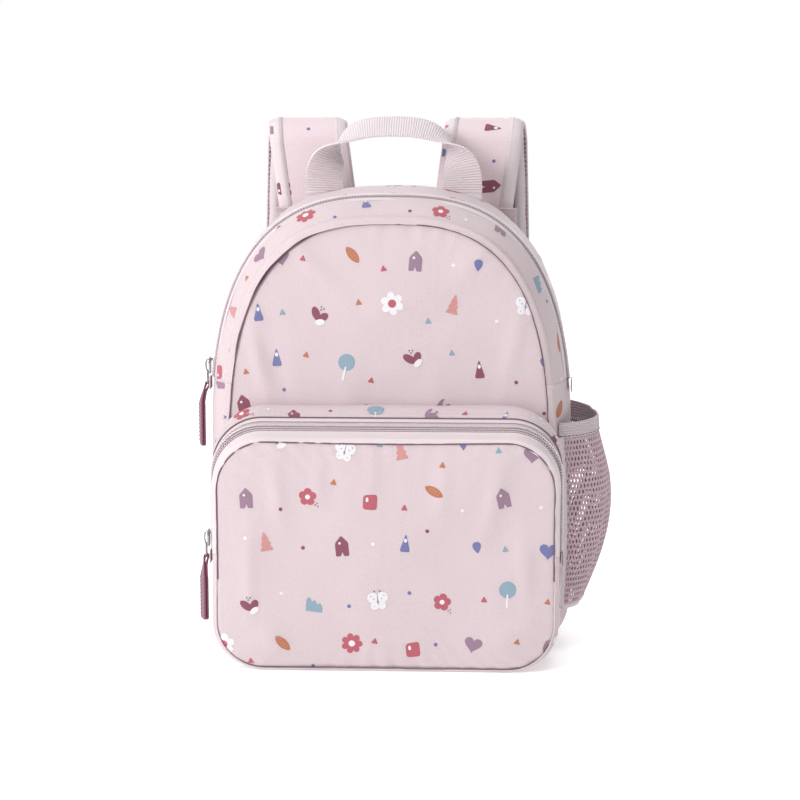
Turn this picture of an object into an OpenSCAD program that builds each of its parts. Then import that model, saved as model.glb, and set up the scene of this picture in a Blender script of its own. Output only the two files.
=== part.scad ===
// Small school backpack: an arched main compartment with a zip over the top,
// a front pocket with its own zip, a mesh bottle pocket on one side, a carry
// handle and two padded shoulder straps.
// X runs to the right seen from the front, the front faces -Y, Z is up.
// The origin is on the floor, under the middle of the main compartment.

/* [Main compartment] */
// Width at the widest point
body_w = 236; // [200:1:280]
// Height of the arch above the floor
body_h = 300; // [260:1:340]
// Depth from the front panel to the back panel
body_d = 90; // [70:1:110]
// Height at which the straight sides turn into the arch
arch_start = 120; // [90:1:150]
// Squareness of the arch: 2 is an ellipse, more is squarer
arch_power = 2.8; // [2:0.1:4]
// Radius of the bottom corners
corner_r = 30; // [15:1:45]
// Thickness of fabric with its lining and foam
wall = 2; // [1.5:0.5:3]
// Height of the two ends of the main zip
zip_end = 178; // [150:1:200]

/* [Front pocket] */
// Width of the pocket at its front seam
pocket_w = 218; // [180:1:230]
// Height of the pocket's front seam
pocket_h = 146; // [120:1:170]
// Depth of the pocket in front of the front panel
pocket_d = 41; // [25:1:50]
// Radius of the pocket's top corners
pocket_r = 32; // [20:1:50]
// Height of the two ends of the pocket zip
pocket_zip_end = 75; // [50:1:100]

/* [Zips] */
// Width of one row of coils
coil_w = 2.85; // [2:0.05:4]
// Thickness of the coils across the tape
coil_t = 2.4; // [1.5:0.1:3]
// Width of tape that shows beside the coils
tape_w = 5; // [3:0.5:8]
// Length of a slider
slider_l = 11; // [8:0.5:14]
// Length of a pull
pull_l = 40; // [25:1:50]
// Width of a pull
pull_w = 10; // [6:0.5:14]
// Thickness of a pull
pull_t = 3; // [2:0.5:5]

/* [Straps and handle] */
// Width of a shoulder strap
strap_w = 52; // [40:1:60]
// Thickness of a strap: cover, foam and spacer mesh
strap_t = 8; // [5:0.5:12]
// Width of the webbing at the handle
web_w = 25; // [20:1:30]
// Width of the webbing below a strap
lower_web_w = 20; // [15:1:25]
// Thickness of webbing
web_t = 2; // [1:0.5:3]
// Height of the top of the handle
handle_top = 345; // [320:1:360]
// Height of the top of the straps
strap_top = 343; // [320:1:360]

/* [Side pocket] */
// How far the mesh pocket stands out from the side
mesh_bulge = 24; // [16:1:30]
// Height of the elastic band's upper edge
mesh_top = 153; // [130:1:175]
// Height of the mesh pocket's lower end
mesh_bottom = 32; // [15:1:45]

/* [Hidden] */

fabric = [0.92, 0.85, 0.86];
tape = [0.93, 0.88, 0.89];
burgundy = [0.44, 0.22, 0.30];
steel = [0.78, 0.78, 0.80];
mesh_grey = [0.67, 0.58, 0.63];

// Gap left between pieces that move against each other
gap = 0.3;
front_y = -body_d / 2;
back_y = body_d / 2;
pocket_y = front_y - wall - pocket_d;
zip_y = -20;          // the plane where the two rows of main coils meet
pocket_zip_y = -75;   // the same for the pocket's zip
main_hinge_z = 170;   // fold line of the upper front panel
pocket_hinge_z = 72;  // fold line of the upper pocket panel
pocket_lift = 1;      // height of the pocket's bottom above the floor

// One station across the depth: [y, side inset, top inset]
body_stations = [[front_y, 11, 15.5], [-32, 4, 7], [zip_y, 1, 4], [-12, 0.5, 3], [20, 0, 0], [back_y, 5, 6]];
pocket_stations = [[pocket_y, 0, 0], [-80, -1.5, -3.5], [-72, -2.5, -7], [-64, -2.5, -11],
  [front_y - wall, 2, -18]];

function mix(a, b, t) = a + (b - a) * t;
// The inset at any y, read between the stations
function station(list, y) =
  let (k = max([for (i = [0 : len(list) - 2]) if (y >= list[i][0] || i == 0) i]),
       a = list[k], b = list[k + 1], t = (y - a[0]) / (b[0] - a[0]))
  [y, mix(a[1], b[1], t), mix(a[2], b[2], t)];

// Rounded bottom of half an outline: from the end of the flat bottom up to the straight side
function bottom_corner(w, z0) =
  [for (a = [-90 : 18 : 0]) [w - corner_r + corner_r * cos(a), z0 + corner_r + corner_r * sin(a)]];
// Point of the arch at an angle, where 0 is the widest point and 90 the top
function arch(w, h, a) = [w * pow(cos(a), 2 / arch_power), arch_start + h * pow(sin(a), 2 / arch_power)];
// Angle at which the arch passes a height
function arch_angle(h, z) = asin(pow((z - arch_start) / h, arch_power / 2));

// Right half of the body's outline above a height, up to the top centre, as [x, z]
function body_above(side, top, z) =
  let (w = body_w / 2 - side, h = body_h - top - arch_start, a0 = arch_angle(h, z))
  [for (i = [0 : 15]) arch(w, h, mix(a0, 90, i / 15))];
// The same below a height, from the corner's lower end
function body_below(side, top, z) =
  let (w = body_w / 2 - side, h = body_h - top - arch_start, a1 = arch_angle(h, z))
  concat(bottom_corner(w, 0), [[w, (corner_r + arch_start) / 2]], [for (i = [0 : 4]) arch(w, h, a1 * i / 4)]);
function body_half(side, top) =
  concat(body_below(side, top, arch_start + 20), [for (i = [1 : 15]) body_above(side, top, arch_start + 20)[i]]);
// Right half of the pocket's outline, round at all four corners, above and below a height
function pocket_above(side, top, z) =
  let (w = pocket_w / 2 - side, h = pocket_h - top, q = pocket_r)
  concat([for (t = [0, 0.5]) [w, mix(z, h - q, t)]],
    [for (a = [0 : 9 : 90]) [w - q + q * cos(a), h - q + q * sin(a)]], [[0, h]]);
function pocket_below(side, top, z) =
  let (w = pocket_w / 2 - side) concat(bottom_corner(w, pocket_lift), [[w, z]]);
function pocket_half(side, top) = concat(pocket_below(side, top, pocket_zip_end),
  [for (i = [1 : 13]) pocket_above(side, top, pocket_zip_end)[i]]);

function flip(half) = [for (i = [len(half) - 1 : -1 : 0]) [-half[i][0], half[i][1]]];
// From the left, over the top, to the right
function over(half) = concat([for (p = half) [-p[0], p[1]]],
  [for (i = [len(half) - 2 : -1 : 0]) half[i]]);

// A solid through a list of rings. Each ring is a closed loop that runs along one face of the wall and
// back along the other, so that point i faces point m - 1 - i.
module loft(rings) {
  m = len(rings[0]);
  n = len(rings);
  last = (n - 1) * m;
  faces = concat(
    [for (k = [0 : n - 2]) for (i = [0 : m - 1])
      let (a = k * m + i, b = k * m + (i + 1) % m) each [[a, b, b + m], [a, b + m, a + m]]],
    [for (i = [0 : m / 2 - 2]) each [[m - 1 - i, m - 2 - i, i + 1], [m - 1 - i, i + 1, i]]],
    [for (i = [0 : m / 2 - 2])
      each [[last + i, last + i + 1, last + m - 2 - i], [last + i, last + m - 2 - i, last + m - 1 - i]]]);
  polyhedron([for (r = rings) for (p = r) p], faces, convexity = 6);
}

// Inward direction of an outline at point i
function inward(line, i) =
  let (a = line[max(i - 1, 0)], b = line[min(i + 1, len(line) - 1)], d = b - a)
  [d[1], -d[0]] / norm(d);
// A strip of wall that follows outlines: lines holds one outline per y, ys the y of each.
// out moves its outer face off the outline, and thick is measured inward from there.
module strip(lines, ys, out = 0, thick = wall) {
  m = len(ys);
  loft([for (i = [0 : len(lines[0]) - 1]) concat(
    [for (j = [0 : m - 1]) let (d = inward(lines[j], i), p = lines[j][i] - out * d) [p[0], ys[j], p[1]]],
    [for (j = [m - 1 : -1 : 0]) let (d = inward(lines[j], i), p = lines[j][i] + (thick - out) * d)
      [p[0], ys[j], p[1]]])]);
}
function between(list, y0, y1) = concat([y0], [for (s = list) if (s[0] > y0 + 0.2 && s[0] < y1 - 0.2) s[0]], [y1]);

module body_over(z, y0, y1, out = 0, thick = wall) {
  ys = between(body_stations, y0, y1);
  strip([for (y = ys) let (s = station(body_stations, y)) over(body_above(s[1], s[2], z))], ys, out, thick);
}
module pocket_over(z, y0, y1, out = 0, thick = wall) {
  ys = between(pocket_stations, y0, y1);
  strip([for (y = ys) let (s = station(pocket_stations, y)) over(pocket_above(s[1], s[2], z))],
    ys, out, thick);
}
// The left side, from the base's corner up to a height
module body_side(z) {
  ys = between(body_stations, front_y, back_y);
  strip([for (y = ys) let (s = station(body_stations, y)) [for (p = body_below(s[1], s[2], z)) [-p[0], p[1]]]], ys);
}
module pocket_side(z) {
  ys = between(pocket_stations, pocket_y, front_y - wall);
  strip([for (y = ys) let (s = station(pocket_stations, y))
    [for (p = pocket_below(s[1], s[2], z)) [-p[0], p[1]]]], ys);
}

// Flat panel with the body's or the pocket's outline, cut to a range of heights
module panel(half, y, thick, z0 = -1, z1 = 1000) {
  intersection() {
    translate([0, y + thick, 0]) rotate([90, 0, 0])
      linear_extrude(thick) polygon(concat(half, flip(half)));
    translate([-500, -500, z0]) cube([1000, 1000, z1 - z0]);
  }
}

// Flat bottom between the rounded corners, whose width follows the stations
module bottom(width, stations, z) {
  side = [for (s = stations) [width / 2 - s[1] - corner_r - 0.35, s[0]]];
  translate([0, 0, z]) linear_extrude(wall) polygon(concat(side,
    [for (i = [len(side) - 1 : -1 : 0]) [-side[i][0], side[i][1]]]));
}
module base_panel() { color(fabric) bottom(body_w, body_stations, 0); }
module side_gusset_left() { color(fabric) body_side(zip_end); }
module side_gusset_right() { color(fabric) mirror([1, 0, 0]) body_side(zip_end); }
module gusset_rear() {
  color(fabric) body_over(zip_end, zip_y + gap / 2 + coil_w + tape_w, back_y);
}
module gusset_front() {
  color(fabric) body_over(zip_end + gap, front_y, zip_y - gap / 2 - coil_w - tape_w);
}
front_half = let (s = body_stations[0]) body_half(s[1], s[2]);
back_half = let (s = body_stations[5]) body_half(s[1], s[2]);
module front_panel_lower() {
  color(fabric) panel(front_half, front_y - wall, wall, 0, main_hinge_z - gap);
}
module front_panel_upper() {
  color(fabric) panel(front_half, front_y - wall, wall, main_hinge_z + gap);
}
module back_panel() { color(fabric) panel(back_half, back_y, wall); }
// Stiff foam sheet inside the back
module back_foam() {
  color(mesh_grey) panel(body_half(12, 13), back_y - 4, 4, 8);
}
// Two upright pads with an air channel between them
module back_pads() {
  color(mesh_grey) for (side = [-1, 1]) difference() {
    panel(body_half(17, 24), back_y + wall, 8, 22, 262);
    translate([side > 0 ? -500 : -9, 0, 0]) cube([509, 200, 400]);
  }
}
// Band across the back with the ends of the straps sewn under it
module strap_yoke() {
  color(fabric) translate([-82, back_y + wall, yoke_z]) cube([164, 4.2, strap_base_z - gap - yoke_z]);
  color(fabric) for (side = [-1, 1])
    translate([side * 50 - strap_w / 2, strap_front_y - strap_t / 2, yoke_z + 2])
      cube([strap_w, strap_t, strap_base_z - gap - yoke_z - 2]);
}

module zip_tape_rear() { color(tape) body_over(zip_end, zip_y + gap / 2 + coil_w, zip_y + gap / 2 + coil_w + tape_w, 0, 1); }
module zip_tape_front() {
  color(tape) body_over(zip_end + gap, zip_y - gap / 2 - coil_w - tape_w, zip_y - gap / 2 - coil_w, 0, 1);
}
module zip_coil_rear() { color(tape) body_over(zip_end, zip_y + gap / 2, zip_y + gap / 2 + coil_w, 0.8, coil_t); }
module zip_coil_front() {
  color(tape) body_over(zip_end + gap, zip_y - gap / 2 - coil_w, zip_y - gap / 2, 0.8, coil_t);
}
// Fabric patches that cover the two ends of the main zip
module zip_end_patches() {
  x = body_w / 2 - 0.5;
  color(tape) for (side = [-1, 1])
    translate([side * x, zip_y, zip_end - 7]) cube([1.2, 15, 8], center = true);
}

// Slider of a zip on the left side: an outer plate with the bridge that the ring hangs in, and an inner
// plate. x0 and x1 are the coils' outer and inner faces there.
plate_t = 1.4;
bridge_t = 2.6;
ring_out = plate_t + 0.85;  // from the coils' outer face to the middle of the ring's wire
module slider(x0, x1, y, z) {
  width = 2 * coil_w + 2;
  color(steel) for (x = [x0, x1 - plate_t])
    translate([-x - plate_t, y - width / 2, z]) cube([plate_t, width, slider_l]);
  color(steel) translate([-x0 - plate_t - bridge_t, y - 1, z]) difference() {
    cube([bridge_t, 2, slider_l]);
    translate([0.9, -1, 1.2]) cube([5, 4, slider_l - 2.4]);
  }
}
// Wire ring through the bridge
module pull_ring(x, y, z) {
  color(steel) translate([x, y, z]) difference() {
    cube([1, 6, 9.6], center = true);
    cube([3, 4, 7.6], center = true);
  }
}
// Folded strip that hangs in the ring
module pull(x, y, z) {
  color(burgundy) translate([x - pull_t / 2, y - pull_w / 2, z - pull_l]) cube([pull_t, pull_w, pull_l]);
}
main_slider_x0 = body_w / 2 - 0.8;
main_slider_x1 = body_w / 2 - 7.4;
main_slider_z = zip_end + 2;
module main_slider() { slider(main_slider_x0, main_slider_x1, zip_y, main_slider_z); }
module main_pull_ring() { pull_ring(-main_slider_x0 - ring_out, zip_y, main_slider_z - 2.3); }
module main_pull() { pull(-body_w / 2 - 4.3, zip_y, main_slider_z - 7.5); }

pocket_slider_x0 = pocket_w / 2 + 3.6;
pocket_slider_x1 = pocket_w / 2 - 0.2;
pocket_slider_z = pocket_zip_end + 2;
module pocket_slider() { slider(pocket_slider_x0, pocket_slider_x1, pocket_zip_y, pocket_slider_z); }
module pocket_pull_ring() {
  pull_ring(-pocket_slider_x0 - ring_out, pocket_zip_y, pocket_slider_z - 2.3);
}
module pocket_pull() { pull(-pocket_slider_x0 - ring_out, pocket_zip_y, pocket_slider_z - 7.5); }

module pocket_base() { color(fabric) bottom(pocket_w, pocket_stations, pocket_lift); }
module pocket_side_left() { color(fabric) pocket_side(pocket_zip_end); }
module pocket_side_right() { color(fabric) mirror([1, 0, 0]) pocket_side(pocket_zip_end); }
pocket_front_half = pocket_half(0, 0);
pocket_tape_front_w = pocket_zip_y - gap / 2 - coil_w;
pocket_tape_rear_w = pocket_zip_y + gap / 2 + coil_w;
module pocket_gusset_rear() { color(fabric) pocket_over(pocket_zip_end, pocket_tape_rear_w + 3, front_y - wall); }
module pocket_panel_lower() {
  color(fabric) panel(pocket_front_half, pocket_y - wall, wall, 0, pocket_hinge_z - gap);
}
module pocket_panel_upper() {
  color(fabric) panel(pocket_front_half, pocket_y - wall, wall, pocket_hinge_z + gap);
}
module pocket_tape_rear() { color(tape) pocket_over(pocket_zip_end, pocket_tape_rear_w, pocket_tape_rear_w + 3, 0, 1); }
module pocket_tape_front() {
  color(tape) pocket_over(pocket_zip_end + gap, pocket_y, pocket_tape_front_w, 0, 1);
}
module pocket_coil_rear() {
  color(tape) pocket_over(pocket_zip_end, pocket_zip_y + gap / 2, pocket_tape_rear_w, 0.8, coil_t);
}
module pocket_coil_front() {
  color(tape) pocket_over(pocket_zip_end + gap, pocket_tape_front_w, pocket_zip_y - gap / 2, 0.8, coil_t);
}
// Fabric patches that cover the two ends of the pocket's zip
module pocket_end_patches() {
  color(tape) for (side = [-1, 1])
    translate([side * (pocket_w / 2 + 3.1), pocket_zip_y, pocket_zip_end - 4.8]) cube([1, 13, 9], center = true);
}

// Bulging mesh pocket on the right side: a thin wall built up in level slices, open at the top.
// A ring stands out from the side by out, between -depth and depth.
function mesh_ring(out, depth) = [for (a = [0 : 15 : 180]) let (y = -depth * cos(a))
  [body_w / 2 - station(body_stations, y)[1] + 0.3 + out * sin(a), y]];
module ring_wall(out, depth, thick, height) {
  inner = mesh_ring(out - thick, depth - thick);
  linear_extrude(height)
    polygon(concat(mesh_ring(out, depth), [for (i = [len(inner) - 1 : -1 : 0]) inner[i]]));
}
function mesh_out(t) = 9 + 10 * t + (mesh_bulge - 12) * sin(180 * t);
elastic_w = 11;
mesh_slices = 14;
mesh_slice_h = (mesh_top - elastic_w - gap - mesh_bottom) / mesh_slices;
module mesh_pocket() {
  color(mesh_grey) {
    for (i = [0 : mesh_slices - 1]) let (t = (i + 0.5) / mesh_slices)
      translate([0, 0, mesh_bottom + i * mesh_slice_h])
        ring_wall(mesh_out(t), mix(35, 40, t), 2.4, mesh_slice_h);
    // Bottom of the pocket, sewn to the side
    translate([0, 0, mesh_bottom - 1.5]) ring_wall(mesh_out(0.04), 35, 8.5, 1.5);
  }
}
module mesh_elastic() {
  color(tape) translate([0, 0, mesh_top - elastic_w]) ring_wall(mesh_out(1) + 0.4, 40, 1.6, elastic_w);
}

// Carry handle: webbing whose feet face the front, and which banks over to face up at the top of its arch
handle_y = 27;
handle_bank = 27;  // tilt of the webbing at the top of the arch
handle_foot = 46;  // from the middle to the middle of a foot
// Height of the body's top at [x, y]
function top_z(x, y) = let (s = station(body_stations, y), w = body_w / 2 - s[1])
  arch_start + (body_h - s[2] - arch_start) * pow(1 - pow(abs(x) / w, arch_power), 1 / arch_power);
handle_z = handle_top - sin(handle_bank) * web_w / 2 - web_t / 2;
handle_base_z = top_z(handle_foot, handle_y) + 1.2;
function handle_point(a) = [-handle_foot * sign(cos(a)) * pow(abs(cos(a)), 0.75), handle_y,
  mix(handle_base_z, handle_z, pow(sin(a), 0.7))];
function handle_across(a) = let (turn = 90 - 90 * sign(cos(a)) * pow(abs(cos(a)), 4))
  [cos(turn), sin(turn) * cos(handle_bank), sin(turn) * sin(handle_bank)];
handle_angles = concat([0, 3, 7], [12 : 12 : 168], [173, 177, 180]);
// The foot's ends follow the arch that they stand on
function seat(p, a) = a == 0 || a == 180 ? [p[0], p[1], top_z(p[0], p[1]) + 1.2] : p;
module carry_handle() {
  color(tape) loft([for (a = [for (r = handle_angles) each r])
    let (p = handle_point(a), q = handle_point(min(a + 2, 180)) - handle_point(max(a - 2, 0)),
         w = handle_across(a) * web_w / 2, n = cross(q, w) / norm(cross(q, w)) * web_t / 2)
    [seat(p - w - n, a), seat(p + w - n, a), seat(p + w + n, a), seat(p - w + n, a)]]);
}

// Middle line of a strap, seen from the side: up from the yoke, over, and down the back.
// Each point is [x, y, z, turn], where turn is the direction that the strap runs in, 90 up, -90 down.
strap_base_z = 284;
yoke_z = 263;
strap_fold_r = 13;
strap_front_y = back_y + wall + 8.5;
strap_low_z = 132;
strap_path = concat(
  [for (t = [0, 0.5, 1]) [mix(50, 58, t), strap_front_y, mix(strap_base_z, strap_top - strap_fold_r - 4, t), 90]],
  [for (a = [60 : -30 : -60]) [58 + (90 - a) / 45, strap_front_y + strap_fold_r * (1 - sin(a)),
    strap_top - strap_fold_r - 4 + strap_fold_r * cos(a), a]],
  [for (t = [0 : 0.25 : 1]) [mix(62, 67, t), strap_front_y + 2 * strap_fold_r - 7 * t,
    mix(strap_top - strap_fold_r - 4, strap_low_z, t), -90]]);
// Cross-section of a strap at a path point, from inner face t0 to outer face t1 and from edge w0 to w1
function strap_ring(p, w0, w1, t0, t1) =
  let (n = [0, -sin(p[3]), cos(p[3])])
  [for (c = [[w0, t0], [w1, t0], [w1, t1], [w0, t1]]) [p[0] + c[0], p[1] + n[1] * c[1], p[2] + n[2] * c[1]]];
module strap_band(w0, w1, t0, t1) {
  loft([for (p = strap_path) strap_ring(p, w0, w1, t0, t1)]);
}
bind_w = 4;
half_strap = strap_w / 2;
module strap_cover() {
  color(fabric) strap_band(-half_strap + bind_w, half_strap - bind_w, strap_t / 2 - 3, strap_t / 2);
}
module strap_mesh() {
  color(mesh_grey) strap_band(-half_strap + bind_w, half_strap - bind_w, -strap_t / 2, strap_t / 2 - 3);
}
module strap_binding() {
  color(tape) for (side = [-1, 1])
    strap_band(side > 0 ? half_strap - bind_w : -half_strap, side > 0 ? half_strap : -half_strap + bind_w,
      -strap_t / 2, strap_t / 2);
}
lock_y = strap_path[12][1];
lock_x = strap_path[12][0];
// Frame buckle at the lower end of a strap that its webbing runs through
module ladder_lock() {
  color("dimgray") translate([lock_x, lock_y, strap_low_z - 11]) difference() {
    cube([34, 4, 21.4], center = true);
    for (z = [-6, 3.5]) translate([0, 0, z]) cube([24, 9, 5], center = true);
  }
}
// Webbing from the anchor tab to the frame buckle
web_foot = [84, back_y + wall + 11, 22];
web_head = [lock_x, lock_y, strap_low_z - 24];
module strap_web() {
  color(tape) loft([for (t = [0 : 0.25 : 1]) let (p = mix(web_foot, web_head, t))
    [for (c = [[-1, -1], [1, -1], [1, 1], [-1, 1]])
      [p[0] + c[0] * lower_web_w / 2, p[1] + c[1] * web_t / 2, p[2]]]]);
}
// Folded triangle of fabric that holds the webbing's lower end
module anchor_tab() {
  color(fabric) translate([web_foot[0], back_y + wall, 9]) rotate([90, 0, 0]) mirror([0, 0, 1])
    linear_extrude(12) polygon([[-18, 0], [8, 0], [13, 12], [-13, 12]]);
}
module mirrored() { mirror([1, 0, 0]) children(); }

base_panel();
side_gusset_left();
side_gusset_right();
gusset_rear();
gusset_front();
front_panel_lower();
front_panel_upper();
back_panel();
back_foam();
back_pads();
strap_yoke();
zip_tape_rear();
zip_tape_front();
zip_coil_rear();
zip_coil_front();
zip_end_patches();
main_slider();
main_pull_ring();
main_pull();
pocket_base();
pocket_side_left();
pocket_side_right();
pocket_gusset_rear();
pocket_panel_lower();
pocket_panel_upper();
pocket_tape_rear();
pocket_tape_front();
pocket_coil_rear();
pocket_coil_front();
pocket_end_patches();
pocket_slider();
pocket_pull_ring();
pocket_pull();
mesh_pocket();
mesh_elastic();
carry_handle();
mirrored() strap_cover();  // strap_cover_left
strap_cover();  // strap_cover_right
mirrored() strap_mesh();  // strap_mesh_left
strap_mesh();  // strap_mesh_right
mirrored() strap_binding();  // strap_binding_left
strap_binding();  // strap_binding_right
mirrored() ladder_lock();  // ladder_lock_left
ladder_lock();  // ladder_lock_right
mirrored() strap_web();  // strap_web_left
strap_web();  // strap_web_right
mirrored() anchor_tab();  // anchor_tab_left
anchor_tab();  // anchor_tab_right
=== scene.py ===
"""Looks of a small printed school backpack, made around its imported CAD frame.

Every shape is worked out in millimetres and turned into metres when its mesh is made.
Surfaces are grids of points: their first index runs along the bag's outline, their second across it.
"""
import math
import random

import bmesh
import bpy
import numpy as np
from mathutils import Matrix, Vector, geometry, noise
from mathutils.bvhtree import BVHTree


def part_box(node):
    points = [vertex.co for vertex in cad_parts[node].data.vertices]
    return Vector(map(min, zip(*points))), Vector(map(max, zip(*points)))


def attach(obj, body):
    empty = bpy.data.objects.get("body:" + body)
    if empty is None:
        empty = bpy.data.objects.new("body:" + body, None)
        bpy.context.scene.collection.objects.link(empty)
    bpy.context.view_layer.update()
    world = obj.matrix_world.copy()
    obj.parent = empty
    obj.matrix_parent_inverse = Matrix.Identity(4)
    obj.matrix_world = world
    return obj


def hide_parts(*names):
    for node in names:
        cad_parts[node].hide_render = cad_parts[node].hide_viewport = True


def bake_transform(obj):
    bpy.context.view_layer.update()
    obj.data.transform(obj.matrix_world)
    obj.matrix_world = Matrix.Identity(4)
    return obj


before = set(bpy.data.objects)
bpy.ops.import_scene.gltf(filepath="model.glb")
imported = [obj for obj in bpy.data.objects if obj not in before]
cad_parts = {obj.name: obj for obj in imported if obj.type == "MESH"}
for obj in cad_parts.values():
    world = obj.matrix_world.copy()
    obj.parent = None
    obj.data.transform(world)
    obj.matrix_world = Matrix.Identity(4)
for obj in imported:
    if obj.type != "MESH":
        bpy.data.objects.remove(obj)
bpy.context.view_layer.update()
MM = 0.001

# ---------------------------------------------------------------- frame sizes


def corners_of(node):
    """Lowest and highest corner of a CAD node, in mm."""
    return [np.array(c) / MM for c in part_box(node)]


def edge(node, side, axis):
    """Lowest (side 0) or highest (side 1) coordinate of a CAD node along axis 0, 1 or 2, in mm."""
    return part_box(node)[side][axis] / MM


HALF_W = edge("side_gusset_right", 1, 0)
TOP = edge("gusset_rear", 1, 2)
FRONT = edge("front_panel_upper", 0, 1)
SEAM_Y = edge("gusset_front", 0, 1)
BACK = edge("back_panel", 1, 1)
ZIP_END = edge("side_gusset_right", 1, 2)
ZIP_Y = (edge("zip_coil_front", 1, 1) + edge("zip_coil_rear", 0, 1)) / 2
POCKET_FRONT = edge("pocket_panel_upper", 0, 1)
POCKET_HALF_W = edge("pocket_panel_upper", 1, 0)
POCKET_TOP = edge("pocket_panel_upper", 1, 2)
POCKET_ZIP_END = edge("pocket_side_right", 1, 2)
POCKET_ZIP_Y = (edge("pocket_coil_front", 1, 1) + edge("pocket_coil_rear", 0, 1)) / 2

# Outline rules of the frame: [depth, inset of the side, inset of the top]
ARCH_START, ARCH_POWER, CORNER_R = 120, 2.8, 30
BODY_STATIONS = [(SEAM_Y, 11, 15.5), (-32, 4, 7), (-20, 1, 4), (-12, 0.5, 3), (20, 0, 0), (45, 5, 6)]
POCKET_R, POCKET_LIFT = 32, 1
POCKET_STATIONS = [(-88, 0, -3.2), (-80, -0.5, -4.9), (-75, -0.8, -7.7), (-70, -1.3, -12.8), (-64, -1.6, -16.0),
                   (-47, 2, -18)]

# ---------------------------------------------------------------- colours


LIT = 1.40  # how brightly the studio lights a surface that faces the key light


def rgb(red, green, blue):
    """Linear reflectance of a surface that shows these 0-255 screen values where it is lit."""
    return tuple(((c / 255 + 0.055) / 1.055) ** 2.4 / LIT for c in (red, green, blue))


PINK = rgb(245, 226, 231)
TAPE = rgb(252, 238, 241)
WEBBING = rgb(276, 262, 267)
BINDING = rgb(262, 248, 252)
SPACER = rgb(188, 160, 174)
NET = rgb(228, 196, 209)
ELASTIC = rgb(250, 232, 238)
LINING = rgb(196, 176, 186)
BURGUNDY = rgb(126, 58, 82)
PRINT = {
    "wine": rgb(146, 72, 98), "rose": rgb(198, 92, 108), "blue": rgb(148, 178, 196), "violet": rgb(118, 124, 180),
    "mauve": rgb(164, 130, 154), "ochre": rgb(200, 126, 86), "salmon": rgb(222, 154, 150), "white": rgb(255, 252, 255),
    "coral": rgb(226, 120, 138), "dark": rgb(60, 44, 58),
}

# ---------------------------------------------------------------- materials


class Material:
    """A Principled material built up from procedural nodes."""

    def __init__(self, name, color, roughness, **sockets):
        self.mat = bpy.data.materials.new(name)
        self.mat.use_nodes = True
        self.tree = self.mat.node_tree
        self.shader = self.tree.nodes["Principled BSDF"]
        self.shader.inputs["Base Color"].default_value = (*color, 1)
        self.shader.inputs["Roughness"].default_value = roughness
        for socket, value in sockets.items():
            self.shader.inputs[socket.replace("_", " ")].default_value = value
        self.color = color

    def node(self, kind, inputs=(), **settings):
        made = self.tree.nodes.new(kind)
        for key, value in settings.items():
            setattr(made, key, value)
        for key, value in dict(inputs).items():
            if isinstance(value, bpy.types.NodeSocket):
                self.tree.links.new(value, made.inputs[key])
            else:
                made.inputs[key].default_value = value
        return made

    def math(self, operation, a, b=0.0, c=0.0):
        return self.node("ShaderNodeMath", {0: a, 1: b, 2: c}, operation=operation).outputs[0]

    def place(self, source="UV", scale=(1, 1, 1), turn=0.0):
        """Texture coordinates in metres, scaled and turned about Z."""
        coords = self.node("ShaderNodeTexCoord").outputs[source]
        return self.node("ShaderNodeMapping", {"Vector": coords, "Scale": scale, "Rotation": (0, 0, turn)}).outputs[0]

    def waves(self, pitch, source="UV", axis="X", turn=0.0, distortion=0.0):
        """Even ridges of the given pitch in mm."""
        scale = 2 * math.pi / (20 * pitch * MM)
        vector = self.place(source, (scale,) * 3, turn)
        return self.node("ShaderNodeTexWave", {"Vector": vector, "Scale": 1.0, "Distortion": distortion},
                         bands_direction=axis, wave_profile="SIN").outputs["Fac"]

    def noise(self, size, source="Object", detail=3.0, scale=(1, 1, 1)):
        """Noise with blotches of about size mm."""
        vector = self.place(source, scale)
        inputs = {"Vector": vector, "Scale": 1 / (size * MM), "Detail": detail}
        return self.node("ShaderNodeTexNoise", inputs).outputs["Fac"]

    def blend_color(self, factor, other, color=None):
        mixed = self.node("ShaderNodeMix", {0: factor, 7: (*other, 1)}, data_type="RGBA")
        if color is None:
            mixed.inputs[6].default_value = (*self.color, 1)
        else:
            self.tree.links.new(color, mixed.inputs[6])
        return mixed.outputs[2]

    def tint(self, factor, amount, tone, under=None):
        """The material's own colour times tone, mixed in by factor times amount."""
        return self.blend_color(self.math("MULTIPLY", factor, amount), shade(self.color, tone), under)

    def inverse(self, factor):
        return self.math("SUBTRACT", 1.0, factor)

    def set_color(self, socket):
        self.tree.links.new(socket, self.shader.inputs["Base Color"])

    def set_roughness(self, socket):
        self.tree.links.new(socket, self.shader.inputs["Roughness"])

    def bump(self, height, depth, strength=1.0):
        """Bump of depth mm; a second call is added on top of the first."""
        made = self.node("ShaderNodeBump", {"Height": height, "Distance": depth * MM, "Strength": strength})
        before = self.shader.inputs["Normal"].links
        if before:
            self.tree.links.new(before[0].from_socket, made.inputs["Normal"])
        self.tree.links.new(made.outputs[0], self.shader.inputs["Normal"])


def shade(color, factor):
    return tuple(c * factor for c in color)


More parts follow.
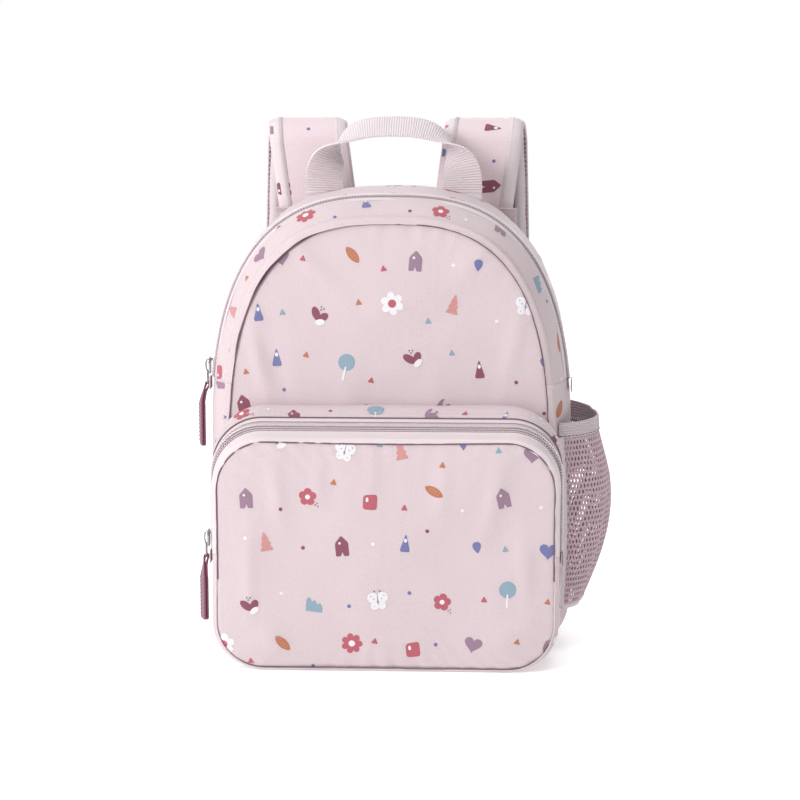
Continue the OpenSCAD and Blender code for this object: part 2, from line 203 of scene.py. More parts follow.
def weave(name, color, pitch=0.72, depth=0.14, roughness=0.62, source="UV", sheen=0.15, pit_shade=0.86):
    """Plain-woven cloth: two crossed sets of threads, faint streaks of uneven yarn and soft blotches."""
    m = Material(name, color, roughness, Sheen_Weight=sheen, Sheen_Roughness=0.45, Specular_IOR_Level=0.35)
    warp = m.waves(pitch, source, "X")
    weft = m.waves(pitch, source, "Y")
    threads = m.math("MULTIPLY", warp, weft)
    streaks = m.noise(3.0, source, 2.0, (1, 0.04, 1))
    blotch = m.noise(26.0, "Object")
    slubs = m.node("ShaderNodeMapRange", {0: m.noise(1.1, source, 2.0), 1: 0.42, 2: 0.68}).outputs[0]
    # Painted shade: the pits of the weave are coloured darker; the streaks, slubs and blotches below are the yarn's own
    # uneven tone.
    darker = m.blend_color(threads, shade(color, pit_shade))
    darker = m.tint(streaks, 0.20, 0.84, darker)
    darker = m.tint(slubs, 0.35, 0.74, darker)
    m.set_color(m.tint(blotch, 0.12, 0.84, darker))
    m.set_roughness(m.math("MULTIPLY_ADD", threads, 0.12, roughness - 0.05))
    m.bump(m.inverse(threads), depth)
    m.bump(blotch, 0.25, 0.5)
    return m


def ribbed(name, color, rib=1.6, axis="X", depth=0.35, roughness=0.8, cross=0.7):
    """Webbing or elastic: strong ribs one way, fine yarns the other way."""
    m = Material(name, color, roughness, Sheen_Weight=0.2, Sheen_Roughness=0.5, Specular_IOR_Level=0.25)
    ribs = m.waves(rib, "UV", axis)
    yarns = m.waves(cross, "UV", "Y" if axis == "X" else "X")
    # Painted shade: the hollows between the ribs and between the yarns are coloured darker; the noise after is the
    # yarn's own uneven tone.
    tone = m.tint(m.inverse(ribs), 0.75, 0.70)
    tone = m.tint(m.inverse(yarns), 0.35, 0.78, tone)
    m.set_color(m.tint(m.noise(9.0), 0.15, 0.85, tone))
    m.bump(ribs, depth)
    m.bump(yarns, depth * 0.45)
    return m


def twill(name, color, pitch=0.9, depth=0.12, roughness=0.72):
    """Herringbone tape: diagonal ribs that turn back and forth."""
    m = Material(name, color, roughness, Sheen_Weight=0.15, Specular_IOR_Level=0.3)
    one = m.waves(pitch, "UV", "X", math.radians(38))
    two = m.waves(pitch, "UV", "X", math.radians(-38))
    side = m.math("GREATER_THAN", m.waves(5.2, "UV", "Y"), 0.5)
    ribs = m.node("ShaderNodeMix", {0: side, 2: one, 3: two}, data_type="FLOAT").outputs[0]
    m.set_color(m.tint(ribs, 0.5, 0.84))
    m.bump(ribs, depth)
    return m


def spacer_mesh(name, color, source="UV", cell=3.0):
    """Knitted spacer cloth: a honeycomb of small dimples."""
    m = Material(name, color, 0.85, Sheen_Weight=0.2, Specular_IOR_Level=0.2)
    cells = m.node("ShaderNodeTexVoronoi", {"Vector": m.place(source), "Scale": 1 / (cell * MM), "Randomness": 0.15},
                   feature="F1").outputs["Distance"]
    ramp = m.node("ShaderNodeMapRange", {0: cells, 1: 0.22, 2: 0.42}).outputs[0]
    # Painted shade: each dimple is coloured darker towards its middle, where it dips deepest.
    m.set_color(m.blend_color(m.inverse(ramp), shade(color, 0.36)))
    m.bump(ramp, 0.9)
    m.bump(m.waves(0.8, source, "X"), 0.12)
    return m


def yarn(name, color):
    """Sewing thread: a fine twist along its length."""
    m = Material(name, color, 0.7, Sheen_Weight=0.2)
    twist = m.waves(0.45, "Object", "DIAGONAL")
    m.set_color(m.tint(twist, 0.5, 0.8))
    m.bump(twist, 0.05)
    return m


def printed(name):
    """The print's ink: colour from the motif, over the same threads as the cloth."""
    m = Material(name, PRINT["rose"], 0.6, Sheen_Weight=0.1, Specular_IOR_Level=0.35)
    ink = m.node("ShaderNodeAttribute", attribute_name="ink").outputs["Color"]
    threads = m.math("MULTIPLY", m.waves(0.62, "UV", "X"), m.waves(0.62, "UV", "Y"))
    m.set_color(m.blend_color(m.math("MULTIPLY", threads, 0.15), PINK, ink))
    m.bump(m.inverse(threads), 0.10)
    return m


def leatherette(name, color):
    m = Material(name, color, 0.42, Coat_Weight=0.15, Coat_Roughness=0.3)
    grain = m.node("ShaderNodeTexVoronoi", {"Vector": m.place("Object"), "Scale": 1 / (0.9 * MM)},
                   feature="DISTANCE_TO_EDGE").outputs["Distance"]
    wear = m.noise(6.0)
    m.set_color(m.tint(wear, 0.3, 1.4))
    m.set_roughness(m.math("MULTIPLY_ADD", wear, 0.25, 0.30))
    m.bump(grain, 0.10, 0.6)
    return m


def nickel(name):
    m = Material(name, rgb(196, 192, 198), 0.22, Metallic=1.0)
    scratches = m.noise(1.2, "Object", 4.0, (1, 1, 8))
    m.set_roughness(m.math("MULTIPLY_ADD", scratches, 0.22, 0.12))
    m.bump(scratches, 0.02, 0.5)
    return m


def moulded(name, color, roughness=0.42):
    m = Material(name, color, roughness, Specular_IOR_Level=0.5)
    grain = m.noise(0.5, "Object", 4.0)
    m.set_color(m.tint(m.noise(8.0), 0.3, 0.88))
    m.bump(grain, 0.04, 0.6)
    return m


FABRIC = weave("printed_cloth", PINK, 0.62)
# Painted light: the straps get a lighter copy of the body's printed cloth, standing in for the extra light they catch.
PAINTED_LIGHT_STRAP_CLOTH = weave("strap_cloth_painted_lighter", rgb(264, 244, 249), 0.62)
LINING_MAT = weave("lining_cloth", LINING, 0.5, 0.06, 0.7)
TAPE_MAT = twill("zip_tape_cloth", TAPE)
COIL_MAT = moulded("nylon_coil", rgb(276, 264, 268), 0.45)
# Painted shade: the colour of thin dark tubes under the chain's stitch rows, where the teeth dip into the tape.
COIL_SHADE_LINE_MAT = moulded("coil_shade_line", rgb(180, 160, 171), 0.8)
# The coil's inner cord, coloured darker than the teeth as painted shade in the gaps between them.
INNER_CORD_AND_SHADE_MAT = moulded("coil_inner_cord_and_shade", rgb(232, 216, 222), 0.6)
WEB_MAT = ribbed("ribbed_webbing", WEBBING)
LOWER_WEB_MAT = ribbed("plain_webbing", WEBBING, 1.2)
BIND_MAT = ribbed("edge_binding", BINDING, 0.8, "X", 0.12, 0.75, 0.6)
ELASTIC_MAT = ribbed("ribbed_elastic", ELASTIC, 1.7, "Y", 0.35, 0.8, 0.6)
SPACER_MAT = spacer_mesh("spacer_mesh_cloth", SPACER)
PAD_MAT = spacer_mesh("pad_mesh_cloth", SPACER, "Object")
NET_MAT = weave("net_yarn", NET, 0.5, 0.12, 0.75, "Object")
THREAD = yarn("pale_thread", rgb(244, 234, 238))
# Painted shade: the colour of the dark tubes laid along seams and hem folds where shadow falls.
SEAM_SHADOW_MAT = yarn("seam_shadow", rgb(128, 92, 110))
DARK_THREAD = yarn("dark_thread", rgb(112, 74, 94))
INK = printed("print_ink")
LEATHER = leatherette("pull_leatherette", BURGUNDY)
METAL = nickel("nickel_plate")
PLASTIC = moulded("buckle_acetal", rgb(214, 196, 204))

# ---------------------------------------------------------------- mesh helpers


def new_mesh(name, points, faces, material, uvs=None, smooth=True):
    """A mesh object from points in mm. uvs holds one (u, v) in mm per point."""
    mesh = bpy.data.meshes.new(name)
    mesh.from_pydata((np.asarray(points, float) * MM).tolist(), [], [list(map(int, f)) for f in faces])
    if uvs is not None:
        layer = mesh.uv_layers.new(name="map")
        index = np.empty(len(mesh.loops), int)
        mesh.loops.foreach_get("vertex_index", index)
        layer.data.foreach_set("uv", (np.asarray(uvs, float) * MM)[index].ravel())
    mesh.materials.append(material.mat)
    mesh.update()
    if smooth:
        mesh.shade_smooth()
    made = bpy.data.objects.new(name, mesh)
    bpy.context.scene.collection.objects.link(made)
    return made


def grid_faces(n, m, around=False):
    return [(i * m + j, i * m + j + 1, (i + 1) % n * m + j + 1, (i + 1) % n * m + j)
            for i in range(n if around else n - 1) for j in range(m - 1)]


def ring_faces(n, k, closed=False, caps=True):
    """Faces between n rings of k points each. An open tube gets a cap at each end."""
    faces = [(i * k + j, i * k + (j + 1) % k, (i + 1) % n * k + (j + 1) % k, (i + 1) % n * k + j)
             for i in range(n if closed else n - 1) for j in range(k)]
    if caps and not closed:
        faces += [tuple(range(k))[::-1], tuple((n - 1) * k + j for j in range(k))]
    return faces


def unit(rows):
    return rows / np.linalg.norm(rows, axis=1)[:, None]


def lengths(points):
    """Distance walked along a row of points."""
    return np.r_[0, np.cumsum(np.linalg.norm(np.diff(points, axis=0), axis=1))]


def grid_uvs(grid):
    """Flat coordinates of a grid in mm: along its first index, then across."""
    n, m = grid.shape[:2]
    along = lengths(grid[:, m // 2])
    across = lengths(grid[n // 2])
    return np.stack(np.meshgrid(along, across, indexing="ij"), -1).reshape(-1, 2)


def face_away(obj, middle):
    """Turns all faces over if they look at the point middle, in mm."""
    towards = sum(f.normal.dot(f.center / MM - Vector(middle)) * f.area for f in obj.data.polygons)
    if towards < 0:
        obj.data.flip_normals()
    return obj


BAG_MIDDLE, POCKET_MIDDLE = (0, 0, 130), (0, -60, 70)


def sheet_mesh(name, grid, material, thick=0.0, middle=BAG_MIDDLE, lining=None):
    """A cloth surface from an n by m grid of points in mm, facing away from middle, with real thickness behind it."""
    made = new_mesh(name, grid.reshape(-1, 3), grid_faces(*grid.shape[:2]), material, grid_uvs(grid))
    face_away(made, middle)
    return thicken(made, thick, lining) if thick else made


def apply_modifiers(obj):
    """Replaces the object's mesh with what its modifiers make of it."""
    graph = bpy.context.evaluated_depsgraph_get()
    mesh = bpy.data.meshes.new_from_object(obj.evaluated_get(graph), depsgraph=graph)
    obj.modifiers.clear()
    obj.data = mesh
    return obj


def thicken(obj, thick, lining=None):
    """Gives a surface its cloth's thickness, and the lining's material on the inner side."""
    solid = obj.modifiers.new("thickness", "SOLIDIFY")
    solid.thickness = thick * MM
    solid.offset = -1
    if lining:
        obj.data.materials.append(lining.mat)
        solid.material_offset = 1
    return apply_modifiers(obj)


def read_at(rows, walked, at):
    """Rows of values that lie at the distances walked, read at other distances."""
    return np.stack([np.interp(at, walked, rows[:, k]) for k in range(rows.shape[1])], 1)


def resample(points, n):
    """n points evenly spaced along a polyline."""
    points = np.asarray(points, float)
    walked = lengths(points)
    return read_at(points, walked, np.linspace(0, walked[-1], n))


def smooth_curve(stations, at):
    """Catmull-Rom curve through (x, value) stations, read at x = at."""
    xs, vs = np.array(stations, float).T
    k = int(np.clip(np.searchsorted(xs, at) - 1, 0, len(xs) - 2))
    slope = np.gradient(vs, xs)
    h = xs[k + 1] - xs[k]
    t = np.clip((at - xs[k]) / h, 0, 1)
    return ((2 * t**3 - 3 * t**2 + 1) * vs[k] + (t**3 - 2 * t**2 + t) * h * slope[k]
            + (3 * t**2 - 2 * t**3) * vs[k + 1] + (t**3 - t**2) * h * slope[k + 1])


def bell(x, width):
    """Bell curve: 1 at x = 0, falling to 0.37 at a distance of width."""
    return math.exp(-(x / width) ** 2)


def wobble(x, y, z, size, seed=0.0):
    """Smooth noise from -1 to 1 with features of about size mm."""
    return noise.noise(Vector((x / size + seed, y / size + seed * 1.7, z / size - seed)))


def tube(name, path, radius, material, sides=8, closed=False):
    """A round wire or thread along points in mm. radius is one value or one per point."""
    path = np.asarray(path, float)
    n = len(path)
    ahead = np.roll(path, -1, 0) if closed else np.vstack([path[1:], 2 * path[-1] - path[-2]])
    behind = np.roll(path, 1, 0) if closed else np.vstack([2 * path[0] - path[1], path[:-1]])
    run = unit(ahead - behind)
    up = np.array([0.0, 0.0, 1.0]) if abs(run[0][2]) < 0.9 else np.array([0.0, 1.0, 0.0])
    rings, side = [], np.cross(up, run[0])
    for p, d, r in zip(path, run, np.broadcast_to(radius, n)):
        side = side - d * side.dot(d)
        side /= np.linalg.norm(side)
        other = np.cross(d, side)
        turn = np.linspace(0, 2 * math.pi, sides, endpoint=False)
        rings.append(p + r * (np.cos(turn)[:, None] * side + np.sin(turn)[:, None] * other))
    return new_mesh(name, np.concatenate(rings), ring_faces(n, sides, closed), material)


def join(name, objects):
    """One object from several, keeping materials, UVs and attributes."""
    with bpy.context.temp_override(active_object=objects[0], selected_editable_objects=objects):
        bpy.ops.object.join()
    objects[0].name = objects[0].data.name = name
    return objects[0]


def stitches(name, path, normals, material, length=2.3, pitch=3.2, radius=0.28, sink=0.05):
    """A row of stitches along a path: each is a short thread that dips into the cloth at both ends."""
    path, normals = np.asarray(path, float), np.asarray(normals, float)
    walked = lengths(path)
    points, faces = [], []
    profile = np.array([(-0.5, -1.6), (-0.42, -0.2), (-0.2, 0.55), (0.2, 0.55), (0.42, -0.2), (0.5, -1.6)])
    for start in np.arange(pitch / 2, walked[-1] - pitch / 2, pitch):
        at = start + profile[:, 0] * length
        centre = read_at(path, walked, at)
        out = unit(read_at(normals, walked, at))
        side = unit(np.cross(out, np.gradient(centre, axis=0)))
        centre = centre + out * ((profile[:, 1] * radius) - sink)[:, None]
        first = len(points)
        for c, s, o in zip(centre, side, out):
            points += [c + radius * (math.cos(a) * s + math.sin(a) * o) for a in np.arange(6) * math.pi / 3]
        faces += [[first + corner for corner in f] for f in ring_faces(6, 6, caps=False)]
    return new_mesh(name, points, faces, material)


def grid_normals(grid):
    """Unit normals of a grid, pointing away from the bag's middle."""
    along = np.gradient(grid, axis=0)
    across = np.gradient(grid, axis=1)
    normals = np.cross(along, across)
    normals /= np.linalg.norm(normals, axis=2)[..., None] + 1e-9
    outward = grid - np.array([0, 0, 140.0])
    return normals * np.sign((normals * outward).sum(2))[..., None]


def normals_off(grid, middle):
    """Unit normals of a grid, pointing away from a point in mm."""
    normals = grid_normals(grid)
    return normals * np.sign((normals * (grid - np.array(middle, float))).sum(2))[..., None]

# ---------------------------------------------------------------- outlines


def arch_points(half_w, top, z0, count=160):
    """Arch from the left at height z0, over the top, to the right, as [x, z]."""
    h = top - ARCH_START
    a0 = math.asin(max(0.0, (z0 - ARCH_START) / h) ** (ARCH_POWER / 2))
    a = np.linspace(a0, math.pi / 2, count)
    x = half_w * np.cos(a) ** (2 / ARCH_POWER)
    z = ARCH_START + h * np.sin(a) ** (2 / ARCH_POWER)
    return np.r_[np.c_[-x, z], np.c_[x, z][-2::-1]]


def corner_points(half_w, radius, lift, z1):
    """From the flat bottom round the lower right corner and up the straight side to z1."""
    a = np.linspace(-math.pi / 2, 0, 14)
    bend = np.c_[half_w - radius + radius * np.cos(a), lift + radius + radius * np.sin(a)]
    return np.r_[bend, [[half_w, z1]]]


def insets(stations, y):
    """How far the outline at depth y lies inside the widest one, at its sides and at its top."""
    return [smooth_curve([(s[0], s[k]) for s in stations], y) for k in (1, 2)]


def body_arch(y, z0, n, out=0.0):
    """n points over the top at depth y, lifted off the frame's outline by out."""
    side, top = insets(BODY_STATIONS, y)
    return resample(arch_points(HALF_W - side + out, TOP - top + out, z0), n)


def body_side(y, z1, n, out=0.0):
    """n points from the flat bottom up the right side to z1 at depth y."""
    side, top = insets(BODY_STATIONS, y)
    half_w, h = HALF_W - side + out, TOP - top + out - ARCH_START
    low = corner_points(half_w, CORNER_R, 0, ARCH_START)
    a1 = math.asin(((z1 - ARCH_START) / h) ** (ARCH_POWER / 2))
    a = np.linspace(0, a1, 30)[1:]
    high = np.c_[half_w * np.cos(a) ** (2 / ARCH_POWER), ARCH_START + h * np.sin(a) ** (2 / ARCH_POWER)]
    return resample(np.r_[low, high], n)


def pocket_arch(y, z0, n, out=0.0):
    side, top = insets(POCKET_STATIONS, y)
    w, h, q = POCKET_HALF_W - side + out, POCKET_TOP - top + out, POCKET_R
    a = np.linspace(0, math.pi / 2, 40)
    right = np.r_[[[w, z0]], np.c_[w - q + q * np.cos(a), h - q + q * np.sin(a)]]
    return resample(np.r_[right * (-1, 1), right[::-1]], n)


def pocket_side(y, z1, n, out=0.0):
    side = insets(POCKET_STATIONS, y)[0]
    return resample(corner_points(POCKET_HALF_W - side + out, CORNER_R, POCKET_LIFT, z1), n)


def with_depth(outline, y):
    return np.c_[outline[:, 0], np.full(len(outline), y), outline[:, 1]]


def loft(path, depths, n, *args):
    """Grid over several depths. path(y, *args, n, out) gives an outline; depths holds (y, out) pairs."""
    return np.stack([with_depth(path(y, *args, n, out), y) for y, out in depths], 1)


def ripple(grid, amount, size, seed=0.0, axis=None):
    """Moves points in and out by smooth noise, less at the grid's four borders."""
    n, m = grid.shape[:2]
    fade = np.outer(np.minimum(1, np.minimum(np.arange(n), np.arange(n)[::-1]) / 4),
                    np.sin(np.linspace(0, math.pi, m)) ** 0.5)
    push = grid_normals(grid) if axis is None else np.broadcast_to(np.array(axis, float), grid.shape)
    shift = np.array([[wobble(*p, size, seed) for p in row] for row in grid])
    return grid + push * (amount * shift * fade)[..., None]


def fold_height(x, z, folds):
    """Long soft folds in a panel, each given as (x, z, half width, half length, height, tilt)."""
    total = 0.0
    for x0, z0, width, reach, height, tilt in folds:
        across = (x - x0) * math.cos(tilt) + (z - z0) * math.sin(tilt)
        along = (z - z0) * math.cos(tilt) - (x - x0) * math.sin(tilt)
        total += height * math.exp(-((across / width) ** 2) - (along / reach) ** 2)
    return total


def ring_dish(outline, y0, centre, crown, tuck=2.0, rings=34, pucker=0.6, period=13.0, seed=0.0, waves=1.6,
              folds=()):
    """A panel stretched in an outline of [x, z] points: it bulges to the front and is puckered near its seam."""
    outline = np.asarray(outline, float)
    walked = lengths(outline)
    count = len(outline)
    points = []
    for k in range(rings):
        r = 1 - (k / (rings - 1)) ** 1.5
        flat = centre + (outline - centre) * max(r, 0.004)
        away = np.linalg.norm(outline - flat, axis=1)
        for (x, z), d, s in zip(flat, away, walked):
            gather = math.sin(2 * math.pi * s / period + 5 * wobble(s, 0, 0, 45, seed))
            gather = gather * (0.5 + wobble(s, 9, 0, 70, seed)) * 1.5
            y = y0 + tuck * bell(d, 2.2) - crown * (1 - math.exp(-d / 24))
            y -= pucker * gather * math.exp(-d / 9) * (1 - math.exp(-d / 1.5))
            y -= waves * wobble(x, 0, z, 62, seed) * (1 - math.exp(-d / 18))
            y -= 0.35 * waves * wobble(x, 5, z, 26, seed + 3) * (1 - math.exp(-d / 10))
            y -= fold_height(x, z, folds) * (1 - math.exp(-d / 3.5))
            points.append((x, y, z))
    points = np.array(points).reshape(rings, count, 3)
    return np.swapaxes(points, 0, 1)


def dish_mesh(name, grid, material, thick=0.8, middle=BAG_MIDDLE, lining=None):
    """A closed panel from the rings of ring_dish, with its flat (x, z) as cloth coordinates."""
    n, m = grid.shape[:2]
    hub = tuple(i * m + m - 1 for i in range(n))
    faces = grid_faces(n, m, around=True)
    made = new_mesh(name, grid.reshape(-1, 3), faces + [hub[::-1]], material, grid[..., (0, 2)].reshape(-1, 2))
    face_away(made, middle)
    return thicken(made, thick, lining)


def closed_outline(rise, over, n):
    """n points round a panel: up the left side, over the top, down the right side and back along the bottom."""
    loop = np.r_[rise * (-1, 1), over[1:-1], rise[::-1], [rise[0] * (-1, 1)]]
    return resample(loop, n + 1)[:-1]

# ---------------------------------------------------------------- settling pieces in the frame

# Cloth that bends between two bodies: [first body, second body, where the bend starts, where it ends]
FLAP_BEND, POCKET_BEND = 32, 23  # how far above the zip's ends the cloth bends
FLAP = ("bag", "main_flap", (0, FRONT, ZIP_END - 1), (0, FRONT, ZIP_END + FLAP_BEND))
POCKET_FLAP = ("bag", "pocket_flap", (0, POCKET_FRONT, POCKET_ZIP_END - 0.5),
               (0, POCKET_FRONT, POCKET_ZIP_END + POCKET_BEND))


def settle(piece, body, slot, *nodes):
    """Hides the frame's nodes that piece stands in for and rides piece on a body; given two bodies, it only bakes the
    piece's transform where it is. The slot is not used.
    """
    if nodes:
        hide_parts(*nodes)
    if isinstance(body, str):
        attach(piece, body)
    else:
        first, second, start, end = body
        [c * MM for c in start]
        [c * MM for c in end]
        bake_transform(piece)
    return piece


def front(p):
    """Which way a cloth's outer side looks at a point p in mm. The next three say the same of other cloths."""
    return Vector((0, -1, 0))


def round_bag(p):
    return Vector((p.x, 0, p.z - 120))


def round_pocket(p):
    return Vector((p.x, 0, p.z - 65))


def round_base(p):
    return Vector((p.x, 0, min(p.z - 40, 0)))

# ---------------------------------------------------------------- print


def circle(cx, cy, r, count=20, squash=1.0, turn=0.0):
    a = np.linspace(0, 2 * math.pi, count, endpoint=False)
    x, y = r * np.cos(a), r * squash * np.sin(a)
    return np.c_[cx + x * math.cos(turn) - y * math.sin(turn), cy + x * math.sin(turn) + y * math.cos(turn)]


def petals(count, r, depth=0.28):
    a = np.linspace(0, 2 * math.pi, count * 10, endpoint=False)
    reach = r * (1 - depth + depth * np.abs(np.cos(a * count / 2)) ** 0.7)
    return np.c_[reach * np.sin(a), reach * np.cos(a)]


def soft_polygon(corners, rounding=0.22, steps=4):
    """A polygon whose corners are rounded by quadratic curves."""
    corners = np.array(corners, float)
    points = []
    for i, corner in enumerate(corners):
        before, after = corners[i - 1], corners[(i + 1) % len(corners)]
        a, b = corner + (before - corner) * rounding, corner + (after - corner) * rounding
        for t in np.linspace(0, 1, steps):
            points.append((1 - t) ** 2 * a + 2 * t * (1 - t) * corner + t * t * b)
    return np.array(points)


def heart(size):
    a = np.linspace(0, 2 * math.pi, 36, endpoint=False)
    x = 16 * np.sin(a) ** 3
    y = 13 * np.cos(a) - 5 * np.cos(2 * a) - 2 * np.cos(3 * a) - np.cos(4 * a)
    return np.c_[x, y] * size / 32


def drop(size):
    a = np.linspace(0, 2 * math.pi, 28, endpoint=False)
    return np.c_[np.sin(a) * np.sin(a / 2) ** 1.2, -np.cos(a)] * size / 2 * (0.95, 1)


def leaf(size):
    a = np.linspace(0, 2 * math.pi, 28, endpoint=False)
    return np.c_[np.cos(a), 0.45 * np.sin(a) * np.abs(np.sin(a)) ** 0.4] * size / 2


def inked(corners, rounding, steps, *more):
    """A soft polygon in the motif's own ink, with other layers on it."""
    return [(soft_polygon(corners, rounding, steps), "ink"), *more]


def dots(colour, r, count, places):
    return [(circle(x, y, r, count), colour) for x, y in places]


HILL_X = np.linspace(-3.8, 3.8, 26)
HILL_TOP = 0.6 + np.abs(np.sin((HILL_X + 3.8) * 1.24)) * 1.7 - HILL_X * 0.42
LEAF_DOTS = [(x, y) for x in (-2, -0.6, 0.8, 2.2) for y in (-0.6, 0.6) if abs(x) + abs(y) < 2.9]
# Each motif is a stack of layers from low to high: an outline in mm and its colour, "ink" for the motif's own.
MOTIFS = {
    "heart": [(heart(8.2), "ink")],
    "flower": [(petals(5, 4.1), "ink"), (circle(0, 0, 1.15, 14), "white"),
               *dots("wine", 0.32, 8, ((3.6, -3.4), (3.6 + 1.2, -3.4 - 0.7), (3.6 + 0.9, -3.4 + 0.8)))],
    "round_flower": [(petals(7, 4.9, 0.32), "ink"), (circle(0, 0, 1.5, 14), "white")],
    "daisy": [(petals(6, 5.4, 0.36), "white"), (circle(0, 0, 1.9, 16), "ink")],
    "tree": [(circle(0, 2.6, 3.9, 22), "ink"),
             (soft_polygon([(-0.6, -6), (0.6, -6), (0.35, 0.6), (-0.35, 0.6)]), "white")],
    "house": inked([(-3, -4.6), (-0.8, -4.6), (0, -2.6), (0.8, -4.6), (3, -4.6), (3, 1.6), (0, 5), (-3, 1.6)],
                         0.12, 3, (circle(-0.9, 1.5, 0.6, 10), "white")),
    "drop": [(drop(5.6), "ink")],
    "leaf": [(leaf(9.2), "ink"), *dots("salmon", 0.28, 6, LEAF_DOTS)],
    "cone": inked([(-2.5, -4.2), (2.5, -4.2), (0, 4.8)], 0.2, 4, (circle(0, 1.2, 0.75, 10, 1.3), "white")),
    "stone": inked([(-3.2, -3.6), (3.2, -3.6), (3.2, 3.6), (-3.2, 3)], 0.24, 5,
                         (soft_polygon([(-2, 0), (-0.8, 0), (-0.8, 2), (-2, 2)], 0.3), "white")),
    "fir": inked([(-3, -4.4), (3, -4.4), (1.6, -1.6), (2.4, -1.6), (1.1, 1), (1.7, 1), (0, 4.8), (-1.7, 1),
                        (-1.1, 1), (-2.4, -1.6), (-1.6, -1.6)], 0.15, 3),
    "hills": [(np.r_[np.c_[HILL_X, HILL_TOP], [(3.8, -3), (-3.8, -3)]], "ink")],
    "moth": [*dots("white", 2.5, 16, ((-2.3, 1.6), (2.3, 1.6))), *dots("white", 1.9, 16, ((-1.7, -2.2), (1.7, -2.2))),
             *dots("ink", 0.3, 6, ((-3, 2.4), (-1.8, 1), (3, 2.4), (1.8, 1), (-1.9, -2.4), (1.9, -2.4))),
             (soft_polygon([(-0.16, -2.4), (0.16, -2.4), (0.16, 2.6), (-0.16, 2.6)]), "ink"),
             *dots("ink", 0.42, 8, ((-1.2, 4.6), (1.2, 4.6)))],
    "bud": [(circle(-1.5, 0.8, 3.3, 18, 0.55, 1.9), "ink"), (circle(1.9, -0.9, 2.5, 18, 0.7, 0.6), "ink"),
            (circle(0.4, -3.2, 2.3, 16, 0.6, 0.1), "white"),
            *dots("dark", 0.36, 6, ((1, 3.8), (2.2, 2.9), (0.9, 2.5)))],
    "swallow": inked([(-4.2, -3.4), (-2.6, -2.6), (-3, 0.4), (-1.4, 3.6), (0.6, 4.4), (-0.4, 2.2), (0, 0.4),
                            (2.6, 2.4), (3.4, 1.6), (1.6, -0.6), (3.8, -1.6), (2.8, -3.2), (0.4, -3.8),
                            (-1.6, -2.4), (-3.2, -4.4)], 0.3, 3),
    "dot": [(circle(0, 0, 0.9, 10), "ink")],
    "triangle": inked([(-1.6, -1.3), (1.6, -1.3), (0, 1.6)], 0.15, 3),
}
BIG_MOTIFS = [("heart", "violet"), ("flower", "rose"), ("tree", "blue"), ("house", "wine"), ("leaf", "ochre"),
              ("moth", "violet"), ("bud", "wine"), ("hills", "blue"), ("daisy", "rose"), ("swallow", "mauve"),
              ("fir", "salmon"), ("stone", "rose"), ("cone", "violet"), ("heart", "mauve"), ("drop", "violet"),
              ("round_flower", "rose"), ("house", "mauve"), ("cone", "wine")]
SMALL_MOTIFS = [("dot", "violet"), ("triangle", "ochre"), ("triangle", "blue"), ("dot", "wine"), ("dot", "white"),
                ("triangle", "rose")]
PRINT_PITCH = 42.0  # mm between motifs in a row
ROW_STEP = 0.78  # distance between rows, as a share of it
MOTIF_SCALE = 1.38


class Cloth:
    """Finds where flat cloth coordinates lie on a finished mesh, on the side that looks outward."""

    def __init__(self, obj, outward):
        self.mesh = obj.data
        self.mesh.calc_loop_triangles()
        uv = self.mesh.uv_layers["map"].data
        self.corners = [t.vertices[:] for t in self.mesh.loop_triangles]
        flat, faces, self.keep = [], [], []
        for tri in self.mesh.loop_triangles:
            if tri.normal.dot(outward(Vector(tri.center) / MM)) <= 0:
                continue
            faces.append(tuple(range(len(flat), len(flat) + 3)))
            flat += [(*uv[loop].uv, 0.0) for loop in tri.loops]
            self.keep.append(tri.index)
        self.flat = [Vector(p) for p in flat]
        self.tree = BVHTree.FromPolygons(flat, faces)
        lo, hi = np.min(flat, 0), np.max(flat, 0)
        self.low, self.high = lo[:2] / MM, hi[:2] / MM

    def spot(self, u, v):
        """Point and normal in mm at cloth coordinates in mm, or None off the cloth."""
        hit, _, index, _ = self.tree.ray_cast(Vector((u * MM, v * MM, 1)), Vector((0, 0, -1)))
        if hit is None:
            return None
        a, b, c = self.flat[3 * index:3 * index + 3]
        weights = geometry.barycentric_transform(hit, a, b, c, *(Vector(axis) for axis in np.eye(3)))
        verts = [self.mesh.vertices[k] for k in self.corners[self.keep[index]]]
        point = sum((v.co * w for v, w in zip(verts, weights)), Vector()) / MM
        normal = sum((v.normal * w for v, w in zip(verts, weights)), Vector()).normalized()
        return point, normal


def fill(outline, step=1.3):
    """Triangles inside a closed outline, small enough to follow a curved cloth."""
    lo, hi = outline.min(0), outline.max(0)
    xs, ys = np.arange(lo[0] + step / 2, hi[0], step), np.arange(lo[1] + step / 2, hi[1], step)
    inner = [Vector((x, y)) for x in xs for y in ys]
    rim = [Vector(p) for p in outline]
    loop = [(i, (i + 1) % len(rim)) for i in range(len(rim))]
    points, _, faces, *_ = geometry.delaunay_2d_cdt(rim + inner, loop, [], 1, 1e-4)
    return points, faces


